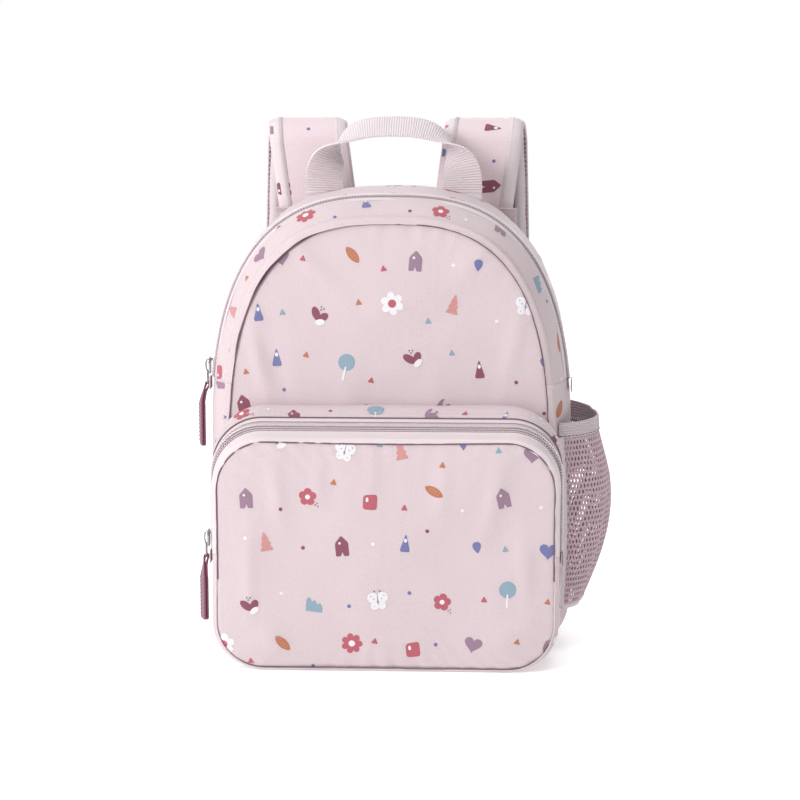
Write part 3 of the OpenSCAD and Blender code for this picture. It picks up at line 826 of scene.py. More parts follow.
def print_on(name, obj, outward, seed, body, height=0.14, window=None):
    """Scatters the print over a cloth: big motifs on a jittered grid, small ones between them.
    outward says which side shows, and window limits it to (u0, v0, u1, v1)."""
    rng = random.Random(seed)
    cloth = Cloth(obj, outward)
    u0, v0, u1, v1 = window or (*cloth.low, *cloth.high)
    points, faces, inks, flat, deck = [], [], [], [], []
    line = 0
    v = v0 + rng.uniform(0, PRINT_PITCH / 2)
    while v < v1 + 5:
        u = u0 + (line % 2) * PRINT_PITCH / 2 + rng.uniform(-4, 4)
        while u < u1 + 5:
            if not deck:
                deck = rng.sample(BIG_MOTIFS, len(BIG_MOTIFS))
            places = [(deck.pop(), 0, 0),
                      (rng.choice(SMALL_MOTIFS), PRINT_PITCH * rng.uniform(0.4, 0.6), rng.uniform(-9, 9))]
            for (motif, ink), du, dv in places:
                cu, cv = u + du + rng.uniform(-5, 5), v + dv + rng.uniform(-5, 5)
                most = 1.2 if motif in ("leaf", "bud") else 0.25
                turn = rng.uniform(-most, most)
                spin = np.array([[math.cos(turn), math.sin(turn)], [-math.sin(turn), math.cos(turn)]])
                for layer, (shape, colour) in enumerate(MOTIFS[motif]):
                    corners, tris = fill(MOTIF_SCALE * shape @ spin + (cu, cv))
                    spots = [cloth.spot(*p) for p in corners]
                    lift = height + 0.06 * min(layer, 2)
                    first = len(points)
                    points += [s[0] + s[1] * lift if s else Vector() for s in spots]
                    flat += [tuple(p) for p in corners]
                    whole = [[first + k for k in tri] for tri in tris if all(spots[k] for k in tri)]
                    faces += whole
                    inks += [PRINT[ink if colour == "ink" else colour]] * len(whole)
            u += PRINT_PITCH * rng.uniform(0.92, 1.08)
        v += PRINT_PITCH * ROW_STEP
        line += 1
    made = new_mesh(name, [tuple(p) for p in points], faces, INK, flat)
    colours = made.data.color_attributes.new(name="ink", type="FLOAT_COLOR", domain="CORNER")
    values = np.concatenate([np.tile((*c, 1), len(f)) for c, f in zip(inks, faces)])
    colours.data.foreach_set("color", values.astype(np.float32))
    aim_outward(made, outward)
    return settle(made, body, "printed_fabric")


def aim_outward(obj, outward):
    """Turns faces over where they look into the bag, and drops points that no face uses."""
    mesh = bmesh.new()
    mesh.from_mesh(obj.data)
    loose = [v for v in mesh.verts if not v.link_faces]
    bmesh.ops.delete(mesh, geom=loose, context="VERTS")
    mesh.faces.ensure_lookup_table()
    wrong = [f for f in mesh.faces if f.normal.dot(outward(f.calc_center_median() / MM)) < 0]
    bmesh.ops.reverse_faces(mesh, faces=wrong)
    mesh.to_mesh(obj.data)
    mesh.free()

# ---------------------------------------------------------------- sewn strips


def row(name, grid, column, body, material=THREAD, slot="webbing", away=BAG_MIDDLE, **size):
    """A row of stitches along one column of a grid."""
    made = stitches(name, grid[:, column], normals_off(grid, away)[:, column], material, **size)
    return settle(made, body, slot)


def strip(name, path, z1, profile, n, material, body, slot, nodes=(), thick=0.8, middle=BAG_MIDDLE,
          ripples=0.0, seed=0.0, lining=None, change=None):
    """A long strip of cloth over an outline that ends at height z1. Returns the piece and its grid."""
    grid = loft(path, profile, n, z1)
    if change:
        grid = change(grid)
    if ripples:
        grid = ripple(grid, ripples, 30, seed)
    made = sheet_mesh(name, grid, material, thick, middle, lining)
    return settle(made, body, slot, *nodes), grid


def printed_strip(name, path, z1, profile, n, body, nodes, outward, seeds, ripples, middle=BAG_MIDDLE, change=None,
                  **print_settings):
    """A strip of lined cloth and its print. seeds holds one for its ripples and one for the print. Returns its grid."""
    cloth, grid = strip(name + "_cloth", path, z1, profile, n, FABRIC, body, "printed_fabric", nodes, 0.8, middle,
                        ripples, seeds[0], LINING_MAT, change)
    print_on(name.replace("_and_base", "") + "_print", cloth, outward, seeds[1], body, **print_settings)
    return grid


def seam_shadow_tube(name, path, radius, body):
    """A thin dark tube along a seam: painted shade where the cloth folds in, not a real cord."""
    return settle(tube(name, path, radius, SEAM_SHADOW_MAT, 6), body, "binding")


def cup(rise):
    """Makes an outline function that goes down the left side, along the bottom and up the right side."""
    def path(y, z1, n, out):
        right = rise(y, z1, 90, out)
        return resample(np.r_[right[::-1] * (-1, 1), right], n)
    return path


def eased(y0, y1, steps, shape):
    """(y, out) pairs across a strip, closer together near both edges."""
    t = (1 - np.cos(np.linspace(0, math.pi, steps))) / 2
    return [(y0 + (y1 - y0) * s, shape(y0 + (y1 - y0) * s)) for s in t]

# ---------------------------------------------------------------- main bag


SEAM_FRONT, SEAM_BACK = SEAM_Y - 3.4, BACK + 1.0


def wall_shape(y):
    """Rolled edges where the bag's wall meets its front and back, a shallow valley behind each, and a soft crown."""
    s, r = y - SEAM_FRONT, SEAM_BACK - y
    return (-0.6 - 3.0 * bell(s, 1.1) - 2.4 * bell(r, 0.9)
            + 0.7 * bell(s - 2.8, 1.6)
            - 0.4 * bell(s - 6.4, 1.5) - 0.5 * bell(r - 5, 1.5)
            + 0.6 * math.sin(math.pi * min(max(s / 93, 0), 1)))


def hem_shape(s):
    """Cloth folded under beside a zip, at a distance s from its fold."""
    return (0.30 * bell(s - 1.2, 1.1) - 2.6 * bell(s, 0.45)
            - 0.25 * bell(s - 3.2, 0.8))


HEM = 4.1


def gusset_shape(in_front):
    """The bag's wall beside the main zip, on one side of it."""
    def shape(y):
        s = ZIP_Y - HEM - y if in_front else y - ZIP_Y - HEM
        return wall_shape(y) + hem_shape(s) - 0.4 * bell(s, 5)
    return shape


body_outline = closed_outline(body_side(SEAM_Y, 140, 120), body_arch(SEAM_Y, 140, 240), 300)
BODY_FOLDS = [(-84, 196, 5, 26, 1.7, 0.25), (-70, 184, 6, 22, -1.3, 0.35), (80, 204, 6, 34, 1.3, -0.2),
              (30, 168, 9, 22, 1.2, 0.1), (-25, 168, 10, 24, 1.3, -0.12), (58, 262, 6, 22, 1.1, -0.7),
              (-52, 258, 6, 28, 1.4, 0.8), (-88, 226, 5, 18, 1.2, 0.5)]
front_grid = ring_dish(body_outline, FRONT, np.array([0, 158.0]), crown=3.4, tuck=3.4, rings=44, pucker=0.6, seed=2,
                       waves=2.8, folds=BODY_FOLDS)


def shoulder_crease(grid, middle, spread, push, reach):
    """Moves a grid's first columns along Y where its outline passes one shoulder, wavering a little."""
    share = np.linspace(0, 1, len(grid))
    for i, u in enumerate(share):
        amount = push * bell(u - middle, spread) * (1 + 0.5 * wobble(u * 400, 0, 0, 16, 3))
        walked = lengths(grid[i])
        grid[i, :, 1] += amount * np.exp(-(walked / reach) ** 2)
    return grid


def run_above(grid, height):
    """The rows of a ring grid whose seam lies above a height, in order along the ring."""
    keep = [i for i in range(len(grid)) if grid[i, 0, 2] > height]
    gap = next((k for k in range(1, len(keep)) if keep[k] - keep[k - 1] > 1), 0)
    return keep[gap:] + keep[:gap]


def inset(grid, rows, distance):
    """Points at a distance inside a ring grid's seam."""
    points = []
    for i in rows:
        away = np.linalg.norm((grid[i] - grid[i, 0])[:, (0, 2)], axis=1)
        d = distance(grid[i, 0, 0]) if callable(distance) else distance
        points.append([np.interp(d, away, grid[i][:, k]) for k in range(3)])
    return np.array(points)


front_grid = shoulder_crease(front_grid, 0.36, 0.085, 3.2, 3.6)
front_panel = settle(dish_mesh("front_panel", front_grid, FABRIC, lining=LINING_MAT), FLAP, "printed_fabric",
                     "front_panel_lower", "front_panel_upper")
print_on("front_panel_print", front_panel, front, 11, FLAP, window=(-110, 118, 110, 292))

gusset_front = printed_strip("gusset_front", body_arch, ZIP_END, eased(SEAM_FRONT, ZIP_Y - HEM, 30, gusset_shape(True)),
                             300, FLAP, ("gusset_front",), round_bag, (3, 23), 1.1,
                             change=lambda grid: shoulder_crease(grid, 0.27, 0.13, -1.7, 7.0))
gusset_rear = printed_strip("gusset_rear", body_arch, ZIP_END, eased(ZIP_Y + HEM, SEAM_BACK, 36, gusset_shape(False)),
                            300, "bag", ("gusset_rear",), round_bag, (5, 31), 1.0)
printed_strip("side_and_base", cup(body_side), ZIP_END, eased(SEAM_FRONT, SEAM_BACK, 60, wall_shape), 320, "bag",
              ("side_gusset_left", "side_gusset_right", "base_panel"), round_base, (7, 41), 1.1)
row("front_gusset_stitches", gusset_front, 10, FLAP)
upper_rim = [i for i in range(len(front_grid)) if front_grid[i, 0, 2] > 150 and front_grid[i, 0, 0] > -70]
settle(stitches("front_seam_stitches", front_grid[upper_rim, 3], np.tile((0.0, -1, 0), (len(upper_rim), 1)),
                DARK_THREAD, 2.6, 3.6, 0.34), FLAP, "binding")
# Painted shade: a dark tube just inside the front seam, thicker at the left shoulder, and another under the main zip's
# rear hem.
front_rim = inset(front_grid, run_above(front_grid, 60), lambda x: 4.3 + 1.0 * bell(x + 76, 26))
front_rim = front_rim + (0, -0.7, 0)
thicker = np.exp(-((front_rim[:, 0] + 70) / 24) ** 2) * (front_rim[:, 2] > 170)
seam_shadow_tube("front_seam_shadow_tube", front_rim, 0.36 + 0.42 * thicker, FLAP)
hem_shadow_tube = loft(body_arch, [(ZIP_Y + HEM - 0.2, 0.2)], 300, ZIP_END)[:, 0]
seam_shadow_tube("zip_hem_shadow_tube", hem_shadow_tube, 0.10 + 0.36 * np.exp(-((hem_shadow_tube[:, 0] + 66) / 30) ** 2), "bag")
row("zip_hem_stitches_front", gusset_front, 25, FLAP, length=2.2)
row("zip_hem_stitches_rear", gusset_rear, 5, "bag", length=2.2)

back_outline = closed_outline(body_side(45, 140, 120), body_arch(45, 140, 240), 260)
back_grid = ring_dish(back_outline, -BACK + 0.4, np.array([0, 150.0]), crown=1.5, tuck=2.4, rings=24, pucker=0.3,
                      seed=9, waves=0.6)
back_grid[..., 1] *= -1
settle(dish_mesh("back_panel_cloth", back_grid, FABRIC, lining=LINING_MAT), "bag", "printed_fabric", "back_panel")

# ---------------------------------------------------------------- zips


def bead_template():
    """One zip tooth: its points as (along the chain, out, across the chain) and its faces."""
    across = [-0.75, -0.5, 0.1, 1.3, 2.1, 2.35]
    size = [0.35, 0.85, 1.0, 0.95, 0.75, 0.3]
    sides = 8
    a = np.arange(sides) * 2 * math.pi / sides
    points = np.concatenate([np.c_[0.45 * s * np.cos(a), 0.95 * s * np.sin(a), np.full(sides, b)]
                             for b, s in zip(across, size)])
    return points, ring_faces(len(across), sides)


def zip_teeth(name, path, normals, across, shift, pitch=1.5):
    """Half a coil chain: teeth along a path whose heads reach over the meeting line."""
    walked = lengths(path)
    at = np.arange(shift * pitch, walked[-1], pitch)
    centre = read_at(path, walked, at)
    out = unit(read_at(normals, walked, at))
    side = np.broadcast_to(np.array([0.0, across, 0.0]), centre.shape)
    run = np.cross(side, out)
    template, tooth_faces = bead_template()
    points = (centre[:, None] + run[:, None] * template[:, :1] + out[:, None] * template[:, 1:2]
              + side[:, None] * template[:, 2:]).reshape(-1, 3)
    if across > 0:
        tooth_faces = [f[::-1] for f in tooth_faces]
    k = len(template)
    faces = [tuple(i * k + j for j in f) for i in range(len(at)) for f in tooth_faces]
    return new_mesh(name, points, faces, COIL_MAT)


def half_zip(prefix, path, z0, plane, across, tape_to, body, tape_node, coil_node, middle, out=0.2):
    """One side of a zip: its tape, its row of teeth and the two rows of stitches that hold them."""
    tape_rows = [(0.05, 0.1), (0.7, 0.3), (1.4, 0.25), (2.4, 0.2), (3.2, 0.1), (0.5 * tape_to + 1.7, 0.0),
                 (tape_to, -0.2)]
    profile = [(plane + across * d, out + o) for d, o in tape_rows[::across]]
    n = 320
    strip(prefix + "_tape", path, z0, profile, n, TAPE_MAT, body, "zip_tape", (tape_node,), 0.6, middle)
    line = loft(path, [(plane + e, out + 1.15) for e in (-0.5, 0, 0.5)], n, z0)
    shift = 0.25 if across > 0 else 0.75
    teeth = zip_teeth(prefix + "_teeth", line[:, 1], normals_off(line, middle)[:, 1], across, shift)
    settle(teeth, body, "zip_coil", coil_node)
    # The inner cord of the coil: its darker colour is painted shade between the teeth.
    core = loft(path, [(plane + across * 1.15, out + 0.7)], n, z0)[:, 0]
    settle(tube(prefix + "_inner_cord_and_shade", core, 0.6, INNER_CORD_AND_SHADE_MAT), body, "zip_coil")
    # Each of the two rows: a thin dark tube as painted shade where the teeth dip into the tape, with the chain stitches
    # over it.
    for k, d in enumerate((1.55, 2.75)):
        groove = loft(path, [(plane + across * d, out + 0.62 - 0.42 * k)], n, z0)[:, 0]
        settle(tube(f"{prefix}_shade_line_{k}", groove, 0.34, COIL_SHADE_LINE_MAT, 6), body, "zip_coil")
        rail = loft(path, [(plane + across * d + e, out + 0.9 - 0.45 * k) for e in (-0.3, 0, 0.3)], n, z0)
        row(f"{prefix}_chain_stitches_{k}", rail, 1, body, away=middle, slot="zip_coil", length=1.0, pitch=1.9,
            radius=0.42, sink=-0.12)


half_zip("main_zip_front", body_arch, ZIP_END, ZIP_Y, -1, 8, FLAP, "zip_tape_front", "zip_coil_front", BAG_MIDDLE, -0.2)
half_zip("main_zip_rear", body_arch, ZIP_END, ZIP_Y, 1, 8, "bag", "zip_tape_rear", "zip_coil_rear", BAG_MIDDLE, -0.2)
half_zip("pocket_zip_front", pocket_arch, POCKET_ZIP_END, POCKET_ZIP_Y, -1, 11.5, POCKET_FLAP, "pocket_tape_front",
         "pocket_coil_front", POCKET_MIDDLE)
half_zip("pocket_zip_rear", pocket_arch, POCKET_ZIP_END, POCKET_ZIP_Y, 1, 7, "bag", "pocket_tape_rear",
         "pocket_coil_rear", POCKET_MIDDLE)

# ---------------------------------------------------------------- front pocket


POCKET_SEAM, POCKET_REAR, POCKET_HEM = POCKET_FRONT - 0.6, -46.6, 5.2


def pocket_front_shape(y):
    """The zip's tape where it rolls over into the pocket's front seam."""
    s = y - POCKET_SEAM
    return 0.45 - 2.6 * bell(s, 0.9) - 0.1 * bell(-80 - y, 1.2)


def pocket_rear_shape(y):
    hem, s = y - (POCKET_ZIP_Y + POCKET_HEM), POCKET_REAR - y
    crown = 0.9 * math.sin(math.pi * min(max(hem / 24, 0), 1))
    return 0.5 + hem_shape(hem) + crown - 0.8 * bell(s, 1.5)


def pocket_side_shape(y):
    s, r = y - POCKET_SEAM, POCKET_REAR - y
    return (-0.1 - 2.0 * bell(s, 0.9) - 1.2 * bell(r, 1.4)
            + 0.5 * bell(s - 2.4, 1.4)
            - 0.3 * bell(s - 5, 1.4) + 0.6 * math.sin(math.pi * min(max(s / 44, 0), 1)))


pocket_outline = closed_outline(pocket_side(-88, 100, 100), pocket_arch(-88, 100, 220), 300)
POCKET_FOLDS = [(-68, 116, 5, 20, 1.5, 0.15), (-42, 122, 5, 16, 1.1, 0), (-8, 122, 7, 14, 1.0, 0),
                (36, 120, 6, 18, 1.2, -0.1), (68, 110, 6, 24, 1.4, -0.25), (-86, 62, 5, 30, 1.2, 0),
                (-72, 22, 8, 12, 1.5, 0.9), (76, 22, 8, 12, 1.4, -0.9), (6, 16, 16, 7, 1.0, 0),
                (88, 66, 5, 26, 1.1, 0.05)]
pocket_grid = ring_dish(pocket_outline, POCKET_FRONT, np.array([0, 74.0]), crown=3.2, tuck=2.6, rings=44, pucker=0.55,
                        seed=14, waves=2.8, folds=POCKET_FOLDS)
pocket_front = dish_mesh("pocket_front_cloth", pocket_grid, FABRIC, middle=POCKET_MIDDLE, lining=LINING_MAT)
settle(pocket_front, POCKET_FLAP, "printed_fabric", "pocket_panel_lower", "pocket_panel_upper")
print_on("pocket_front_print", pocket_front, front, 5, POCKET_FLAP)
strip("pocket_rim_cloth", pocket_arch, POCKET_ZIP_END, eased(POCKET_SEAM, -80, 14, pocket_front_shape), 300,
      TAPE_MAT, POCKET_FLAP, "zip_tape", middle=POCKET_MIDDLE, ripples=0.35, seed=17)
pocket_top = printed_strip("pocket_top", pocket_arch, POCKET_ZIP_END,
                           eased(POCKET_ZIP_Y + POCKET_HEM, POCKET_REAR, 26, pocket_rear_shape), 300, "bag",
                           ("pocket_gusset_rear",), round_pocket, (19, 51), 0.7, POCKET_MIDDLE, height=0.3)
printed_strip("pocket_side", cup(pocket_side), POCKET_ZIP_END,
              eased(POCKET_SEAM, POCKET_REAR, 30, pocket_side_shape), 300, "bag",
              ("pocket_side_left", "pocket_side_right", "pocket_base"), round_base, (21, 61), 0.8, POCKET_MIDDLE)
# Painted shade: a dark tube just inside the pocket's seam and another under its hem fold.
pocket_rim = inset(pocket_grid, run_above(pocket_grid, 58), 2.9) + (0, -0.5, 0)
seam_shadow_tube("pocket_seam_shadow_tube", pocket_rim, 0.5, POCKET_FLAP)
pocket_hem_shadow_tube = loft(pocket_arch, [(POCKET_ZIP_Y + POCKET_HEM - 0.2, 0.7)], 300, POCKET_ZIP_END)[:, 0]
seam_shadow_tube("pocket_hem_shadow_tube", pocket_hem_shadow_tube, 0.4, "bag")
row("pocket_hem_stitches", pocket_top, 7, "bag", away=POCKET_MIDDLE, length=2.6, pitch=3.5)

# ---------------------------------------------------------------- sliders and pulls


def slab(name, outline, origin, u, v, thick, material, bevel):
    """A plate from a flat outline in mm: u and v are its axes, and thick goes along u x v."""
    u, v, origin = (np.array(a, float) for a in (u, v, origin))
    w = np.cross(u, v)
    outline = np.asarray(outline, float)
    flat = origin + outline[:, :1] * u + outline[:, 1:] * v
    n = len(flat)
    uvs = np.r_[outline, outline + (0, thick)]
    made = new_mesh(name, np.r_[flat, flat + w * thick], ring_faces(2, n), material, uvs)
    rounding = made.modifiers.new("bevel", "BEVEL")
    rounding.width, rounding.segments = bevel * MM, 3
    rounding.limit_method, rounding.angle_limit = "ANGLE", math.radians(50)
    apply_modifiers(made)
    made.data.set_sharp_from_angle(angle=math.radians(40))
    return made


def zip_slider(name, node, body):
    """Shield-shaped outer and inner plates and the bridge, in the place of the frame's slider."""
    (x0, y0, z0), (x1, y1, z1) = corners_of(node)
    yc, half, tall = (y0 + y1) / 2, (y1 - y0) / 2, z1 - z0
    right = [(half * 0.72, 0), (half, tall * 0.62), (half * 0.8, tall), (half * 0.22, tall * 0.93)]
    shield = soft_polygon([(-half * 0.72, 0), *right, *[(-y, z) for y, z in right[:0:-1]]], 0.25, 5)
    square = soft_polygon([(-0.8, 0), (0.8, 0), (0.8, 1.8), (-0.8, 1.8)], 0.3)
    plates = [slab(name + end, shape, (x, yc, z), (0, 1, 0), (0, 0, 1), thick, METAL, bevel)
              for end, shape, x, z, thick, bevel in (("", shield, x0 + 2.6, z0, 1.4, 0.45),
                                                     ("_inner", shield, x1 - 1.4, z0, 1.4, 0.45),
                                                     ("_post", square, x0 + 3.4, z1 - 2.6, x1 - x0 - 4, 0.2))]
    a = np.linspace(0, math.pi, 15)
    arc = np.c_[x0 + 2.9 - 2.3 * np.sin(a) ** 0.7, np.full(15, yc), z0 + tall / 2 - (tall / 2 - 1.3) * np.cos(a)]
    bridge = tube(name + "_bridge", arc, 0.62, METAL, 10)
    return settle(join(name, [*plates, bridge]), body, "nickel", node)


# Half of a pull's cross-section: [across in half widths, through in thicknesses]
TAB_SECTION = np.array([(-1, -0.25), (-0.93, -0.5), (-0.5, -0.52), (0, -0.5), (0.5, -0.52), (0.93, -0.5), (1, -0.25)])


def pull_tab(prefix, ring_node, tab_node, body, lean, twist):
    """A wire ring, and a strip of leatherette folded through it and stitched round its edge."""
    (rx0, ry0, rz0), (rx1, ry1, rz1) = corners_of(ring_node)
    (_, y0, z0), (_, y1, z1) = corners_of(tab_node)
    rx, ry = (rx0 + rx1) / 2, (ry0 + ry1) / 2
    a = np.linspace(0, 2 * math.pi, 40, endpoint=False)
    loop = np.c_[np.full(40, rx), ry + 2.5 * np.sign(np.cos(a)) * np.abs(np.cos(a)) ** 0.5,
                 (rz0 + rz1) / 2 + 4.3 * np.sign(np.sin(a)) * np.abs(np.sin(a)) ** 0.7]
    settle(tube(prefix + "_ring", loop, 0.5, METAL, 10, closed=True), body, "nickel", ring_node)
    wire_z, gap, thick = rz0 + 0.5, 0.75, 1.25

    def leg(z):
        return rx - lean * min(1, max(0, (wire_z - z) / 12)) ** 0.8

    down = np.linspace(z0, wire_z - 5, 26)
    fold = np.linspace(math.radians(200), math.radians(-20), 15)
    middle = resample([*[(leg(z) - gap, z) for z in down],
                       *[(rx + 1.25 * math.cos(t), wire_z + 1.25 * math.sin(t)) for t in fold],
                       *[(leg(z) + gap, z) for z in down[::-1]]], 90)
    run = unit(np.gradient(middle, axis=0))
    side = np.c_[run[:, 1], -run[:, 0]]
    z = middle[:, 1]
    narrow = np.clip((wire_z + 0.6 - z) / 5.5, 0, 1)
    corner = np.clip((z - z0) / 2.6, 0, 1)
    width = (1.75 + ((y1 - y0) / 2 - 1.75) * narrow ** 0.7) * (0.72 + 0.28 * np.sqrt(1 - (1 - corner) ** 2))
    rings = []
    for (x, height), s, w in zip(middle, side, width):
        turn = math.radians(twist) * min(1, max(0, (wire_z - height) / 14))
        ring = []
        for b, t in np.r_[TAB_SECTION, -TAB_SECTION]:
            z = height + s[1] * t * thick
            dx, dy = x + s[0] * t * thick - leg(height), b * w
            ring.append((leg(height) + dx * math.cos(turn) - dy * math.sin(turn),
                         ry + dx * math.sin(turn) + dy * math.cos(turn), z))
        rings.append(ring)
    rings = np.array(rings)
    tab = new_mesh(prefix + "_tab", rings.reshape(-1, 3), ring_faces(*rings.shape[:2]), LEATHER)
    settle(face_away(tab, rings.mean((0, 1))), body, "pull", tab_node)
    outer = rings[2:len(rings) // 2 - 14]
    for k0, k1, letter in ((2, 1, "a"), (4, 5, "b")):
        path = outer[:, k0] * 0.35 + outer[:, k1] * 0.65
        away = (path - np.array([rx + 20, ry, 0])) * (1, 1, 0)
        settle(stitches(f"{prefix}_stitches_{letter}", path, away, DARK_THREAD, 1.9, 2.6, 0.2, 0.02), body, "pull")


zip_slider("main_slider_shield", "main_slider", "main_slider")
zip_slider("pocket_slider_shield", "pocket_slider", "pocket_slider")
pull_tab("main_pull", "main_pull_ring", "main_pull", "main_pull", 3.8, 17)
pull_tab("pocket_pull", "pocket_pull_ring", "pocket_pull", "pocket_pull", 1.6, 24)


for side, word in ((-1, "left"), (1, "right")):
    for prefix, node, x, y, z in (("main", "zip_end_patches", 117.1, ZIP_Y, ZIP_END),
                                  ("pocket", "pocket_end_patches", 111.4, POCKET_ZIP_Y, POCKET_ZIP_END)):
        scrap = soft_polygon([(-6.5, -4.5), (6.5, -4.5), (6.5, 4), (-6.5, 4)], 0.12, 4)
        place = (side * x, y, z - 3.5)
        patch = slab(f"{prefix}_zip_patch_{word}", scrap, place, (0, side, 0), (0, 0, 1), 0.9, FABRIC, 0.35)
        settle(patch, "bag", "zip_tape", node)

# ---------------------------------------------------------------- mesh side pocket

NET_TOP, NET_LOW = edge("mesh_elastic", 0, 2), edge("mesh_pocket", 0, 2)
NET_MIDDLE = (60, 0, 90)
CORNER_AT = 76  # where round the pocket its elastic stands out furthest, in degrees


def net_point(a, t, out=0.0):
    """Point of the side pocket's bulging wall: a runs 0 to 180 degrees from front to back, t 0 to 1 upwards."""
    depth = 38 + 4 * t
    y = -depth * math.cos(math.radians(a))
    reach = 9 + 10 * t + 12 * math.sin(math.pi * t) + out
    side = insets(BODY_STATIONS, y)[0]
    crease = (2.6 * bell(a - 62 - 10 * t, 9) * math.sin(math.pi * min(1, 0.2 + t))
              + 1.4 * bell(a - 120 + 14 * t, 8))
    corner = 1 - abs(a - CORNER_AT) / CORNER_AT if a < CORNER_AT else 1 - (a - CORNER_AT) / (180 - CORNER_AT)
    taut = max(0.0, min(1.0, (t - 0.72) / 0.28)) * 0.62
    pulled = corner ** 0.9 - 0.06 * bell(a - CORNER_AT, 14)
    bend = math.sin(math.radians(a))
    bulge = reach * ((1 - taut) * bend ** 0.85 + taut * pulled) - crease * bend
    return np.array([HALF_W - side + 0.4 + max(0.0, bulge), y, NET_LOW + (NET_TOP + 1 - NET_LOW) * t])


def net_mesh(cell_u=2.75, cell_v=4.7, rib=0.74):
    """A knitted net with real holes: a honeycomb of six-sided eyes, each ringed by its yarn."""
    arc = np.array([net_point(a, 0.5) for a in np.linspace(0, 180, 60)])
    columns = int(lengths(arc)[-1] / cell_u)
    rows = int((NET_TOP - NET_LOW) / (cell_v * 0.75))
    corners = [(0, 0.5), (0.5, 0.25), (0.5, -0.25), (0, -0.5), (-0.5, -0.25), (-0.5, 0.25)]
    shrink_u, shrink_v = 1 - 2 * rib / cell_u, 1 - 2 * rib / (cell_v * 0.8)
    index, points, faces = {}, [], []

    def add(u, v, push=0.0):
        key = (round(u * 24), round(v * 24), push)
        if key not in index:
            index[key] = len(points)
            a, t = np.clip(u / columns, 0, 1) * 180, np.clip(v / (rows * 0.75), 0, 1)
            points.append(net_point(a, t, push))
        return index[key]

    for r in range(rows + 1):
        for c in range(columns):
            cu, cv = c + 0.5 * (1 + r % 2), r * 0.75
            outer = [add(cu + du, cv + dv, 0.12) for du, dv in corners]
            inner = [add(cu + du * shrink_u, cv + dv * shrink_v) for du, dv in corners]
            sides = [(outer[k], outer[(k + 1) % 6], inner[(k + 1) % 6], inner[k]) for k in range(6)]
            faces += [f for f in sides if len(set(f)) == 4]
    return new_mesh("side_net", points, faces, NET_MAT)


net = face_away(net_mesh(), NET_MIDDLE)
thicken(net, 0.55)
settle(net, "bag", "net", "mesh_pocket")


def band_point(a, s):
    """Point of the elastic band: a as for the net, s 0 to 1 from its lower to its upper edge."""
    bend = math.sin(math.radians(a))
    roll = 0.7 * math.sin(math.pi * s) ** 0.3 + 0.22 * math.sin(math.radians(a * 14)) * math.sin(math.pi * s)
    return net_point(a, 1.0) + (roll * bend - 0.9 * s * bend, 0, s * 11.2 - 0.6 + 1.4 * (a - 90) / 90 * s)


def net_sheet(name, rows, material, slot, thick, *nodes):
    """A strip of cloth on the side pocket from rows of points. Returns its grid."""
    grid = np.array(rows)
    settle(sheet_mesh(name, grid, material, thick, NET_MIDDLE), "bag", slot, *nodes)
    return grid


band_grid = net_sheet("side_pocket_elastic",
                      [[band_point(a, s) for s in np.linspace(0, 1, 25)] for a in np.linspace(0, 180, 140)],
                      ELASTIC_MAT, "elastic", 1.3, "mesh_elastic")
for k, (column, thread) in enumerate(((3, DARK_THREAD), (21, THREAD))):
    row(f"side_elastic_stitches_{k}", band_grid, column, "bag", thread, "elastic", NET_MIDDLE, length=2.0, pitch=2.9,
        radius=0.24)
FOOT_SECTION = ((-0.3, 2.2), (0.5, 2.0), (0.7, 0.2), (-0.2, -1.4), (-6, -1.3))  # [out of the net, up]
net_sheet("side_pocket_foot_binding", [[net_point(a, 0.0, out) + (0, 0, up) for out, up in FOOT_SECTION]
                                       for a in np.linspace(2, 178, 80)], BIND_MAT, "binding", 0.7)
for a, way, word in ((0, 1, "front"), (180, -1, "rear")):
    net_sheet(f"side_pocket_{word}_binding",
              [[net_point(a + way * k, t, 0.3) + (0.5, -2.2 * way * (k == 0), 0) for k in (0, 3, 7)]
               for t in np.linspace(0, 1, 50)], BIND_MAT, "binding", 0.7)

# ---------------------------------------------------------------- webbing, handle, straps


def band(name, centre, across, width, thick, material, edge_round=0.35, steps=12):
    """A flat strap along a path, with real thickness and rounded selvedges.
    across is its width direction at each point, or one for all."""
    centre = np.asarray(centre, float)
    run = np.gradient(centre, axis=0)
    across = np.broadcast_to(np.asarray(across, float), centre.shape)
    across = unit(across - run * ((across * run).sum(1) / (run * run).sum(1))[:, None])
    out = np.cross(unit(run), across)
    w = np.r_[np.linspace(-1, 1, steps), np.linspace(1, -1, steps)]
    t = np.r_[np.full(steps, 0.5), np.full(steps, -0.5)] * (1 - edge_round * np.abs(w) ** 8)
    rings = centre[:, None] + across[:, None] * (w * width / 2)[:, None] + out[:, None] * (t * thick)[:, None]
    n, k = rings.shape[:2]
    uvs = np.stack([np.repeat(lengths(centre), k), np.tile(w * width / 2, n)], 1)
    made = face_away(new_mesh(name, rings.reshape(-1, 3), ring_faces(n, k), material, uvs), rings.mean((0, 1)))
    made.data.set_sharp_from_angle(angle=math.radians(60))
    return made


HANDLE_Y, HANDLE_FOOT, HANDLE_LOW, HANDLE_TOP, BANK = 27, 46, 294.0, 338.3, math.radians(27)


def handle_line(a):
    c, s = math.cos(a), math.sin(a)
    return np.array([-HANDLE_FOOT * np.sign(c) * abs(c) ** 0.75, HANDLE_Y,
                     HANDLE_LOW + (HANDLE_TOP - HANDLE_LOW) * max(s, 0) ** 0.7])


